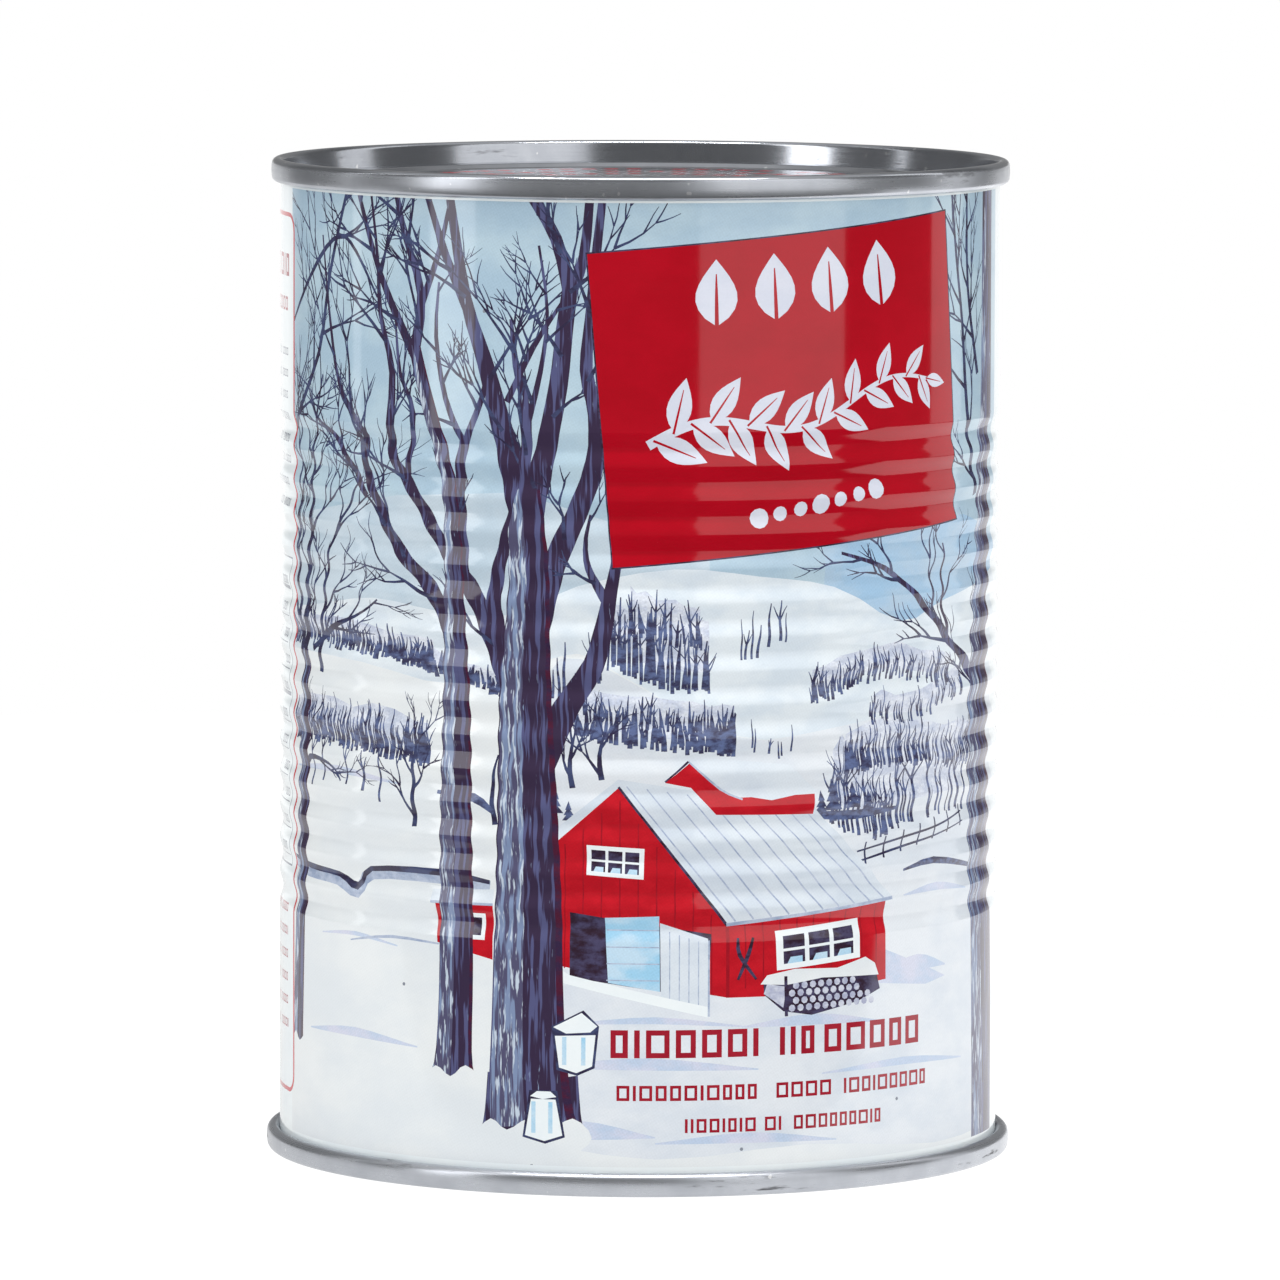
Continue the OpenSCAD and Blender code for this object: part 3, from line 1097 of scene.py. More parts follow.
    def left_edge_tree(self) -> None:
        """The slim tree at the left edge."""
        self.woods.limb(
            Ink.BRANCH, (-49.0, 55, 1.6), (-48.4, 66, 1.2), (
                -47.2, 76, 0.8
            ), (-46.4, 84, 0.5), (-44.0, 92, 0.3), twigs=9, reach=7
        )
        self.woods.limb(
            Ink.BRANCH, (-49.2, 58, 1.0), (-51.5, 70, 0.8), (-50.5, 80, 0.5), (-51.5, 92, 0.3), twigs=6,
            reach=6
        )
        self.woods.limb(
            Ink.BRANCH, (-49.6, 45.6, 0.8), (-47.4, 47.6, 0.7), (-43, 47.2, 0.4), (-40.4, 45.4, 0.2),
            twigs=3, reach=4
        )
        self.woods.trunk(
            (-51.6, 13.6, 4.4), (-51.2, 16, 3.5), (-50.4, 28, 3.0), (-49.8, 42, 2.8), (-49.2, 52, 2.4),
            (-48.8, 60, 1.8)
        )

    def second_tree(self) -> None:
        """The paler tree left of the middle, forked low."""
        woods = self.woods
        bark = Ink.BARK
        woods.limb(
            bark, (-27.7, 95.0, 1.6), (-26.6, 102, 1.2), (-29.2, 109.3, 0.9), (-30.4, 114, 0.8), twigs=3,
            reach=8
        )
        woods.limb(bark, (-26.7, 100.6, 1.0), (-24.1, 107, 0.7), (-22.3, 114, 0.5), twigs=2, reach=5)
        woods.limb(bark, (-27.5, 95.0, 1.3), (-32.8, 104, 0.9), (-36.9, 114, 0.6), twigs=4, reach=8)
        woods.limb(bark, (-20.9, 70, 1.7), (-21.4, 80.8, 1.4), (-20.8, 86, 1.3), twigs=0)
        woods.limb(
            bark, (-20.8, 85.2, 0.9), (-23.2, 90.3, 0.7), (-24.5, 97.3, 0.55), (-24.1, 103.5, 0.3),
            twigs=4, reach=5
        )
        woods.limb(bark, (-20.8, 85.2, 0.9), (-18.5, 90.5, 0.7), (-17.8, 94, 0.5), twigs=1, reach=5)
        woods.limb(
            bark,
            (-14.8, 58, 3.0),
            (-18.9, 67.2, 2.2),
            (-23.1, 72.9, 1.8),
            (-27.7, 79.4, 1.5),
            (-31.2, 84.4, 1.4),
            (-30.9, 92.9, 1.0),
            (-32.8, 99.5, 0.7),
            (-33.3, 106, 0.5),
            (-34.5, 114, 0.35),
            twigs=7,
            reach=9,
        )
        woods.limb(
            bark,
            (-22, 63.5, 2.6),
            (-25.4, 68.7, 1.9),
            (-30.1, 72.9, 1.6),
            (-33.3, 77.9, 1.4),
            (-35.5, 81.9, 1.2),
            (-35.5, 85.3, 1.0),
            (-40.2, 90.9, 0.7),
            (-42.3, 98.3, 0.5),
            (-44, 108, 0.3),
            twigs=8,
            reach=9,
        )
        woods.limb(
            bark, (-35.2, 78.6, 0.9), (-40.2, 84.2, 0.7), (-45.8, 87.2, 0.4), (-48, 91, 0.25), twigs=5,
            reach=6
        )
        woods.limb(
            bark, (-28.9, 80.8, 0.9), (-27.7, 88.3, 0.7), (-29.7, 93, 0.5), (-30.4, 99, 0.3), twigs=3,
            reach=6
        )
        woods.trunk(
            (-22.2, 12.6, 6.0),
            (-22.0, 16, 4.7),
            (-21.7, 26, 4.4),
            (-21.9, 41, 4.2),
            (-21.8, 55, 3.6),
            (-22.1, 66, 2.8),
            (-22.3, 74, 2.2),
            (-22.9, 80.7, 1.9),
            (-24.3, 85.5, 1.9),
            (-26.3, 91.7, 1.8),
            (-27.6, 96.2, 1.7),
        )

    def main_tree(self) -> None:
        """The big maple in front."""
        woods = self.woods
        bark = Ink.BARK
        woods.limb(bark, (-20.4, 100.6, 1.2), (-23.2, 106.6, 1.0), (-26, 114, 0.8), twigs=2, reach=6)
        woods.limb(
            bark, (-13.4, 77.4, 3.6), (-15.9, 86.9, 2.6), (-18.1, 94.6, 2.0), (-20.6, 101.9, 1.5),
            (-22.8, 114, 1.1), twigs=3, reach=7
        )
        woods.limb(bark, (-7.9, 102.4, 1.7), (-9.6, 108.8, 1.4), (-12.8, 114, 1.2), twigs=2, reach=5)
        woods.limb(bark, (-8.0, 102.4, 1.4), (-6.4, 106.8, 1.2), (-5.7, 114, 1.0))
        woods.limb(
            bark, (-12.9, 76.6, 3.4), (-10.8, 84.8, 2.5), (-9.3, 92.2, 2.2), (-8.6, 98.5, 2.0),
            (-7.9, 103.7, 1.8), twigs=4, reach=7
        )
        woods.limb(
            bark, (-13.5, 80.6, 1.6), (-13.0, 88.5, 1.2), (-14.3, 94.3, 0.8), (-14.9, 99.6, 0.4), twigs=3,
            reach=7
        )
        woods.limb(
            bark, (-13.1, 87.2, 0.9), (-11.4, 93.7, 0.6), (-10.6, 100.5, 0.4), (-11.6, 108, 0.3), twigs=3,
            reach=6
        )
        woods.limb(bark, (-15.4, 90.2, 0.8), (-12.2, 96.5, 0.6), (-8.9, 101.6, 0.4), twigs=2, reach=5)
        woods.limb(
            bark,
            (-12.2, 63.5, 3.4),
            (-9.9, 71.6, 2.8),
            (-7.2, 77.6, 2.4),
            (-5.1, 83.5, 2.2),
            (-5.0, 89, 1.8),
            (-6.1, 94, 1.5),
            (-5.6, 100, 1.3),
            (-5.0, 107, 1.1),
            (-4.2, 114, 0.9),
            twigs=3,
            reach=6,
        )
        woods.limb(bark, (-15.4, 60.5, 2.2), (-17.0, 66.5, 1.9), (-16.2, 72, 1.6), (-14.6, 78, 1.2))
        woods.limb(
            bark, (-3.7, 67.8, 1.2), (-5.4, 70.6, 0.9), (-6.2, 73.6, 0.6), (-5.6, 77.6, 0.3), twigs=2,
            reach=4
        )
        woods.limb(
            bark, (-11.6, 49.0, 4.0), (-8.4, 55.5, 3.0), (-5.2, 60.5, 2.5), (-3.9, 65.5, 2.0),
            (-3.2, 69.2, 1.5), (-2.5, 73, 1.2), (-2.4, 78, 1.0)
        )
        for u, spread in ((-16.2, -2.2), (-13.4, -0.8), (-10.8, 0.6), (-8.2, 2.2)):
            self.sheet.stroke(Ink.BARK, (u + spread, 6.4, 0.3), (u + spread * 0.4, 9.0, 1.8), (u, 13.5, 2.8))
        woods.trunk(
            (-12.1, 7.6, 10.6),
            (-12.6, 11, 9.8),
            (-12.8, 20, 8.6),
            (-12.8, 33, 7.9),
            (-13.0, 46, 7.0),
            (-13.2, 56, 6.3),
            (-13.0, 64, 5.4),
            (-12.8, 70, 4.8),
            (-13.1, 76, 4.4),
            (-13.3, 80.4, 3.6),
        )

    def snow_at_feet(self) -> None:
        """Banks the snow against the feet of the two big trunks."""
        self.sheet.fill(
            Ink.SNOW,
            *smooth(
                [
                    (-19.4, 6.4), (-17.2, 8.4), (-15.2, 7.2), (-12.6, 8.6), (-10.2, 7.3), (-7.4, 8.8),
                    (-5.2, 6.6), (-8, 4.6), (-16, 4.6), (-19.4, 6.4)
                ],
                3
            )
        )
        self.sheet.fill(
            Ink.SNOW,
            *smooth(
                [
                    (-26.4, 12.2), (-24.4, 14.0), (-22.4, 12.9), (-20.4, 14.3), (-18.2, 12.4), (-20, 11),
                    (-25, 11), (-26.4, 12.2)
                ],
                3
            )
        )
        self.sheet.fill(
            Ink.SNOW,
            *smooth(
                [
                    (-53.4, 13.6), (-52, 15.2), (-50.6, 14.2), (-48.8, 15.0), (-47.4, 13.4), (-50, 12.4),
                    (-53.4, 13.6)
                ],
                3
            )
        )

    def right_edge_tree(self) -> None:
        """The tree at the right edge, with a limb that reaches in under the panel."""
        woods = self.woods
        woods.limb(
            Ink.BARK, (52, 51.5, 2.4), (48.6, 57.4, 1.7), (42.9, 61.6, 1.1), (36.1, 67.3, 0.8),
            (30.7, 70.8, 0.6), (24.5, 72.8, 0.35), twigs=7, reach=6
        )
        woods.limb(Ink.BARK, (42.9, 61.4, 0.7), (41.1, 66.5, 0.5), (41.5, 73, 0.3), twigs=3, reach=5)
        woods.limb(
            Ink.BRANCH, (49.6, 78, 0.9), (46.6, 88, 0.8), (45.2, 98, 0.6), (43.6, 106, 0.5),
            (42.4, 114, 0.4), twigs=8, reach=7
        )
        woods.limb(Ink.BRANCH, (49.6, 92, 0.8), (46.6, 102, 0.6), (46.2, 114, 0.4), twigs=5, reach=6)
        woods.trunk(
            (53.6, 0.0, 9.0),
            (53.4, 9, 8.4),
            (52.4, 28, 7.6),
            (51.6, 42, 7.2),
            (51.2, 56, 6.4),
            (52.2, 70, 5.0),
            (52.8, 85, 4.2),
            (52.9, 100, 3.8),
            (52.9, 115, 3.6),
        )

    def buckets(self) -> None:
        """Two sap buckets at the foot of the big maple."""
        sheet = self.sheet
        sheet.fill(
            Ink.BRANCH, (-9.9, 19.3), (-6.2, 21.2), (-4.4, 19.4), (-4.9, 14.6), (-6.9, 13.7), (-9.3, 14.3)
        )
        sheet.fill(Ink.WHITE, (-9.5, 18.2), (-4.8, 18.4), (-5.2, 14.8), (-7.0, 14.0), (-9.0, 14.6))
        sheet.fill(Ink.WHITE, (-9.7, 19.2), (-6.4, 20.9), (-4.6, 19.4), (-5.4, 18.7), (-8.2, 18.5))
        sheet.fill(Ink.BRANCH, (-12.5, 11.9), (-9.2, 11.9), (-8.3, 6.6), (-10.6, 5.8), (-13.3, 6.5))
        sheet.fill(Ink.WHITE, (-12.3, 10.9), (-9.4, 10.9), (-8.6, 6.8), (-10.7, 6.1), (-13.0, 6.7))
        sheet.fill(Ink.WHITE, (-12.4, 11.2), (-11.6, 11.8), (-10.0, 11.8), (-9.3, 11.2), (-10.9, 10.9))
        for u in (-8.4, -6.2, -12.0, -10.0):
            low, high = (14.9, 18.1) if u > -9 else (7.0, 10.6)
            sheet.stroke(Ink.DOOR_BLUE, (u, low, 0.5), (u, high, 0.5), steps=1)


@dataclass
class RedPanel:
    """The turned red panel. Plain leaves, a branch and dots stand where lettering would be."""

    sheet: Sheet
    centre: Point = (19.0, 91.4)
    width: float = 47.2
    height: float = 35.6
    turn: float = math.radians(4.9)
    rise: float = math.radians(5.5)

    def spot(self, across: float, up: float) -> Point:
        """Turns a place measured from the panel's middle into a place on the sheet."""
        cos, sin = math.cos(self.turn), math.sin(self.turn)
        return (self.centre[0] + across * cos - up * sin, self.centre[1] + across * sin + up * cos)

    def draw(self) -> None:
        """Draws the panel and its ornament."""
        for ink, edge in ((Ink.SHADOW, 0.18), (Ink.PANEL_RED, 0.0)):
            half, tall = self.width / 2 + edge, self.height / 2 + edge
            self.sheet.fill(
                ink, *(self.spot(a * half, b * tall) for a, b in ((-1, -1), (1, -1), (1, 1), (-1, 1)))
            )
        for i in range(4):
            self.leaf((-9.6 + 7.1 * i, 8.4), math.radians(90 - 4 + 2 * i), 7.6, 4.9)
        self.branch()
        for i in range(7):
            self.sheet.disc(
                Ink.ORNAMENT, self.spot(-6.3 + 2.6 * i, -13.8 + 0.25 * i), 0.85 if i % 3 else 1.15, 12
            )

    def leaf(self, foot: Point, heading: float, length: float, width: float) -> None:
        """Draws a pointed white leaf with a red vein.

        Args:
            foot: Where its stem meets it, measured from the panel's middle.
            heading: The way it points, in radians.
            length: Its length.
            width: Its width.
        """
        along = Vector((math.cos(heading), math.sin(heading)))
        side = Vector((-along.y, along.x))
        edge = [(i / 8, math.sin(math.pi * (i / 8) ** 0.8) * width / 2) for i in range(9)]
        points = [Vector(foot) + along * length * t + side * h for t, h in edge]
        points += [Vector(foot) + along * length * t - side * h for t, h in reversed(edge[1:-1])]
        self.sheet.fill(Ink.ORNAMENT, *(self.spot(*p) for p in points))
        veins = ((-0.04, 0.1), (0.4, 0.08), (0.78, 0.03))
        vein = [(Vector(foot) + along * length * t, w * width) for t, w in veins]
        self.sheet.stroke(Ink.PANEL_RED, *((*self.spot(*p), w) for p, w in vein))

    def branch(self) -> None:
        """Draws a long waving branch across the panel, with leaves on alternate sides."""
        leaves, reach, swing, waves = 17, 37.0, 1.5, 1.5

        def stem(share: float) -> tuple[Vector, float]:
            """Finds a place on the stem, and the way the stem runs there, by its share of the length."""
            turn = math.tau * waves * share
            across = reach * (share - 0.5)
            place = Vector((across, -2.6 + across * math.tan(self.rise) + swing * math.sin(turn)))
            slope = math.tan(self.rise) + swing * math.cos(turn) * math.tau * waves / reach
            return place, math.atan(slope)

        knots = [(*self.spot(*stem(i / 30)[0]), 1.15 - 0.75 * i / 30) for i in range(31)]
        self.sheet.stroke(Ink.ORNAMENT, *knots, steps=2)
        for i in range(leaves):
            place, run = stem((i + 0.4) / leaves)
            side = 1 if i % 2 else -1
            size = 1.0 - 0.35 * i / leaves
            self.leaf(place, run + side * math.radians(52), 6.4 * size, 2.9 * size)
        place, run = stem(1.0)
        self.leaf(place, run, 3.6, 1.6)


@dataclass
class PlainLines:
    """Rows of small plain frames, in place of small lettering."""

    sheet: Sheet
    chance: random.Random

    def words(
        self, inks: tuple[Ink, Ink], start: Point, lengths: Sequence[float], height: float, gap: float
    ) -> None:
        """Draws a line of groups, each a row of small plain frames of uneven width.

        Args:
            inks: The ink of the frames and the ink of the ground inside them.
            start: The line's lower left end.
            lengths: Length of each group.
            height: Height of the frames.
            gap: Space from one group to the next.
        """
        u, v = start
        line = 0.19 * height
        for length in lengths:
            end = u + length
            while u < end - 0.4 * height:
                wide = min(height * self.chance.choice((0.2, 0.62, 0.72, 0.84)), end - u)
                self.sheet.block(inks[0], u, u + wide, v, v + height)
                if wide > 2.4 * line:
                    self.sheet.block(inks[1], u + line, u + wide - line, v + line, v + height - line)
                u += wide + 0.22 * height
            u = end + gap

    def front(self) -> None:
        """The three red lines under the barn."""
        self.words((Ink.TEXT_RED, Ink.BLUE_SNOW), (-3.1, 15.8), (18.4, 4.4, 16.2), 3.2, 1.3)
        self.words((Ink.TEXT_RED, Ink.BLUE_SNOW), (-2.4, 10.9), (17.2, 7.4, 13.0), 1.75, 1.4)
        self.words((Ink.TEXT_RED, Ink.BLUE_SNOW), (5.4, 7.2), (8.3, 2.5, 12.0), 1.6, 1.1)


@dataclass
class SidePanel:
    """The white panel between the two pictures, with a red outline and plain frames."""

    sheet: Sheet
    lines: PlainLines
    left: float = -74.6
    right: float = -52.6
    low: float = 7.6
    high: float = 110.0
    line: float = 0.5
    corner: float = 2.2

    def draw(self) -> None:
        """Draws the outline, a heading, a ruled table and lines of small frames."""
        sheet = self.sheet
        sheet.block(Ink.WHITE, self.left - 0.4, self.right - 0.9, 0.0, 116.0)
        sheet.block(Ink.OUTLINE_RED, self.left, self.right, self.low, self.high, self.corner)
        inner = self.line
        sheet.block(
            Ink.WHITE,
            self.left + inner,
            self.right - inner,
            self.low + inner,
            self.high - inner,
            self.corner - inner,
        )
        u = self.left + 2.4
        self.lines.words((Ink.TEXT_RED, Ink.WHITE), (u, 102.6), (10.5, 5.4), 2.6, 1.2)
        self.lines.words((Ink.TEXT_RED, Ink.WHITE), (u, 98.6), (6.0, 9.6), 1.6, 1.0)
        for row in range(8):
            self.lines.words((Ink.GREY, Ink.WHITE), (u, 93.4 - 2.5 * row), (7.5, 4.2, 3.6), 0.9, 0.8)
        table_low, table_high = 34.0, 70.0
        sheet.block(Ink.GREY, u - 0.2, u + 17.4, table_low, table_high)
        sheet.block(Ink.WHITE, u, u + 17.2, table_low + 0.2, table_high - 0.2)
        for row in range(11):
            v = table_high - 3.2 - 3.1 * row
            sheet.block(Ink.GREY, u + 0.6, u + 16.6, v - 0.6, v - (0.15 if row in (0, 4) else 0.48))
            self.lines.words((Ink.GREY, Ink.WHITE), (u + 0.8, v), (5.4, 3.0), 1.0, 0.7)
            self.lines.words((Ink.GREY, Ink.WHITE), (u + 13.4, v), (2.8,), 1.0, 0.7)
        for row in range(6):
            self.lines.words((Ink.TEXT_RED, Ink.WHITE), (u, 28.6 - 2.7 * row), (4.6, 6.4, 4.2), 1.0, 0.8)


@dataclass
class WeldMargin:
    """The unprinted margin at the sheet's two ends, which are lapped and welded to each other."""

    sheet: Sheet
    seam: float
    panel: float = 11.0
    bare: float = 2.0
    weld: float = 0.6

    def draw(self) -> None:
        """Draws the white panel, the bare stripe in it and the weld."""
        for ink, half in ((Ink.WHITE, self.panel), (Ink.BARE, self.bare), (Ink.WELD, self.weld)):
            self.sheet.block(ink, self.seam - half, self.seam + half, -1.0, 118.0)


# ---------------------------------------------------------------------------------------------------
# The wall
# ---------------------------------------------------------------------------------------------------


@dataclass
class PrintedWall:
    """The rolled and beaded sheet, made as upright strips so that each keeps a sharp print."""

    radius: float
    low: float
    high: float
    tin_height: float
    plate: float = 0.2
    bead_count: int = 15
    bead_pitch: float = 3.88
    bead_depth: float = 0.4
    front_seam: float = 68.0
    weld_rise: float = 0.08
    weld_reach: float = 0.5
    strips: int = 8
    columns: int = 15
    bead_rows: int = 9
    plain_row: float = 2.4
    seed: int = 540
    pieces: list[bpy.types.Object] = field(default_factory=list)

    @property
    def length(self) -> float:
        """Length of the sheet, once round the tin."""
        return math.tau * self.radius

    @property
    def beads_low(self) -> float:
        """Height at which the band of beads starts."""
        return (self.tin_height - self.bead_count * self.bead_pitch) / 2

    def draw(self) -> Sheet:
        """Draws the print: two pictures, the panels between them and the bare margins.

        Returns:
            The drawn sheet.
        """
        sheet = Sheet()
        for turn in (-1, 0):
            chance = random.Random(self.seed)
            sheet.shift = turn * self.length / 2
            WinterScene(sheet, Woods(sheet, chance)).draw()
            RedPanel(sheet).draw()
            PlainLines(sheet, chance).front()
        sheet.shift = 0.0
        SidePanel(sheet, PlainLines(sheet, random.Random(self.seed))).draw()
        for seam in (self.front_seam - self.length, self.front_seam):
            WeldMargin(sheet, seam).draw()
        sheet.block(Ink.WHITE, self.front_seam - self.length + 3.5, self.front_seam - 3.5, 112.9, 118.0)
        sheet.block(Ink.WHITE, self.front_seam - self.length + 3.5, self.front_seam - 3.5, -1.0, 3.3)
        return sheet

    def row_heights(self) -> list[float]:
        """Lists the heights of the sheet's rows, closer together in the beads."""
        beads_high = self.beads_low + self.bead_count * self.bead_pitch
        steps = self.bead_count * self.bead_rows
        rows = [self.beads_low + self.bead_pitch * i / self.bead_rows for i in range(steps + 1)]
        for start, end in ((self.low, self.beads_low), (beads_high, self.high)):
            count = math.ceil((end - start) / self.plain_row)
            rows += [start + (end - start) * i / count for i in range(count + 1)]
        return sorted({round(v, 6) for v in rows})

    def column_places(self) -> list[float]:
        """Lists the sheet's columns, with a few more beside the weld."""
        count = self.strips * self.columns
        start = self.front_seam - self.length
        columns = [start + self.length * i / count for i in range(count + 1)]
        for near in (0.25, 0.5, 0.8, 1.2):
            columns += [start + near, self.front_seam - near]
        return sorted(columns)

    def cut(self, sheet: Sheet) -> tuple[list[Vector], list[Sequence[int]], list[Ink]]:
        """Cuts the drawn outlines and the sheet's rows and columns into triangles.

        Args:
            sheet: The drawn sheet.

        Returns:
            The flat points, the triangles and the ink of each triangle.
        """
        points, edges = [], []
        for outline in sheet.outlines:
            first, count = len(points), len(outline)
            points += [Vector(p) for p in outline]
            edges += [(first + i, first + (i + 1) % count) for i in range(count)]
        rows, columns = self.row_heights(), self.column_places()
        lines = [((columns[0], v), (columns[-1], v)) for v in rows]
        lines += [((u, rows[0]), (u, rows[-1])) for u in columns]
        for line in lines:
            edges.append((len(points), len(points) + 1))
            points += [Vector(p) for p in line]
        found = delaunay_2d_cdt(points, edges, [], 0, 1e-4, False)
        flat, triangles = found[0], found[2]
        middles = np.array(flat)[np.array(triangles)].mean(axis=1)
        owners = sheet.covering(middles)
        inside = (middles > (columns[0], rows[0])).all(axis=1) & (middles < (
            columns[-1], rows[-1]
        )).all(axis=1)
        kept = np.flatnonzero(inside & (owners >= 0))
        return flat, [triangles[i] for i in kept], [sheet.inks[owners[i]] for i in kept]

    def rolled(self, u: float, v: float, inset: float = 0.0) -> tuple[Vector, Vector]:
        """Finds where a point of the flat sheet lies on the tin.

        Args:
            u: Its place along the sheet.
            v: Its height.
            inset: How far it lies inside the sheet's outer face.

        Returns:
            The place, in metres, and the direction that the outer face looks in.
        """
        radius, slope = self.radius, 0.0
        beads = (v - self.beads_low) / self.bead_pitch
        if 0 < beads < self.bead_count:
            radius -= self.bead_depth * (1 - math.cos(math.tau * beads)) / 2
            slope = -math.pi * self.bead_depth / self.bead_pitch * math.sin(math.tau * beads)
        near = min(abs(u - self.front_seam), abs(u - self.front_seam + self.length))
        radius += self.weld_rise * math.exp(-((near / self.weld_reach) ** 2))
        turn = u / self.radius
        out = Vector((math.sin(turn), -math.cos(turn), 0))
        place = (out * (radius - inset) + Vector((0, 0, v))) * MM
        return place, (out - Vector((0, 0, slope))).normalized()

    def bake_place(self, u: float, v: float, strip: int, upper: bool) -> Point:
        """Lays a strip out in a square, its upper half beside its lower half.

        Args:
            u: Place along the sheet.
            v: Height.
            strip: The strip's number.
            upper: Whether the face is in the strip's upper half.

        Returns:
            The place on the map that the textures are baked through.
        """
        edge = 0.004
        width = self.length / self.strips
        across = (u - (self.front_seam - self.length) - strip * width) / width
        half = (self.high - self.low) / 2
        up = (v - self.low - (half if upper else 0.0)) / half
        lane = 0.485
        start = edge + (lane + edge if upper else 0.0)
        return start + across * (lane - edge), edge + up * (1 - 2 * edge)

    def build(self, effects: Effects) -> list[bpy.types.Object]:
        """Draws, cuts and rolls the sheet.

        Args:
            effects: The shared node groups.

        Returns:
            The strips of the wall.
        """
        sheet = self.draw()
        flat, triangles, inks = self.cut(sheet)
        materials = {ink: ink.value.material(f"{ink.name.lower()}_finish", effects) for ink in Ink}
        start = self.front_seam - self.length
        width = self.length / self.strips
        lots: list[list[int]] = [[] for _ in range(self.strips)]
        for number, triangle in enumerate(triangles):
            middle = sum(flat[i].x for i in triangle) / len(triangle)
            lots[min(int((middle - start) / width), self.strips - 1)].append(number)
        for strip, lot in enumerate(lots):
            piece = self.strip(strip, flat, [triangles[i] for i in lot], [inks[i] for i in lot], materials)
            self.pieces.append(piece)
        return self.pieces

    def strip(
        self,
        number: int,
        flat: Sequence[Vector],
        triangles: Sequence[Sequence[int]],
        inks: Sequence[Ink],
        materials: dict[Ink, bpy.types.Material],
    ) -> bpy.types.Object:
        """Makes one upright strip of the wall, closed at its back and its edges.

        Args:
            number: The strip's number.
            flat: The flat sheet's points.
            triangles: The strip's triangles, as numbers of points.
            inks: The ink of each triangle.
            materials: The material of each ink.

        Returns:
            The strip.
        """
        used = sorted({i for triangle in triangles for i in triangle})
        index = {old: new for new, old in enumerate(used)}
        count = len(used)
        front = [tuple(index[i] for i in triangle) for triangle in triangles]
        outer = [self.rolled(*flat[i]) for i in used]
        inner = [self.rolled(*flat[i], self.plate) for i in used]
        back = [tuple(i + count for i in reversed(face)) for face in front]
        directed = {(a, b) for face in front for a, b in zip(face, (*face[1:], face[0]))}
        rim = [(b, a, a + count, b + count) for a, b in directed if (b, a) not in directed]
        mesh = bpy.data.meshes.new(f"wall_strip_{number + 1}")
        mesh.from_pydata([p for p, _ in outer + inner], [], front + back + rim)
        worn = [ink for ink in Ink if ink in set(inks)]
        if Ink.BARE not in worn:
            worn.append(Ink.BARE)
        for ink in worn:
            mesh.materials.append(materials[ink])
        metal = worn.index(Ink.BARE)
        slots = [worn.index(ink) for ink in inks] + [metal] * (len(back) + len(rim))
        mesh.polygons.foreach_set("material_index", slots)
        mesh.polygons.foreach_set("use_smooth", [True] * len(mesh.polygons))
        self.map_strip(mesh, number, [flat[i] for i in used], len(front))
        mesh.normals_split_custom_set_from_vertices([n for _, n in outer] + [-n for _, n in inner])
        piece = bpy.data.objects.new(mesh.name, mesh)
        bpy.context.scene.collection.objects.link(piece)
        return piece

    def map_strip(self, mesh: bpy.types.Mesh, number: int, flat: Sequence[Vector], front: int) -> None:
        """Gives a strip its place on the sheet and its place in the baked textures.

        Args:
            mesh: The strip's mesh, its outer points first.
            number: The strip's number.
            flat: The flat place of each outer point.
            front: How many of the faces are the printed ones.
        """
        on_sheet, on_bake = [], []
        middle = (self.low + self.high) / 2
        start = self.front_seam - self.length + number * self.length / self.strips
        for face in mesh.polygons:
            spots = [flat[i % len(flat)] for i in face.vertices]
            upper = sum(p.y for p in spots) / len(spots) > middle
            for spot in spots:
                on_sheet += [spot.x / SHEET_UNIT, spot.y / SHEET_UNIT]
                if face.index < front:
                    on_bake += self.bake_place(spot.x, spot.y, number, upper)
                else:
                    share = (spot.x - start) / (self.length / self.strips)
                    on_bake += [
                        0.984 + 0.014 * share, 0.01 + 0.98 * (spot.y - self.low) / (self.high - self.low)
                    ]
        for name, places in ((SHEET_MAP, on_sheet), (BAKE_MAP, on_bake)):
            mesh.uv_layers.new(name=name).uv.foreach_set("vector", places)


# ---------------------------------------------------------------------------------------------------
# The ends
# ---------------------------------------------------------------------------------------------------


def arc(centre: Point, radius: float, start: float, end: float, step: float = 11.25) -> list[Point]:
    """Lists points on an arc.

    Args:
        centre: The arc's centre.
        radius: Its radius.
        start: Its first angle in degrees.
        end: Its last angle in degrees.
        step: The most degrees from one point to the next.

    Returns:
        The points.
    """
    count = max(math.ceil(abs(end - start) / step), 1)
    angles = (math.radians(start + (end - start) * i / count) for i in range(count + 1))
    return [(centre[0] + radius * math.cos(a), centre[1] + radius * math.sin(a)) for a in angles]


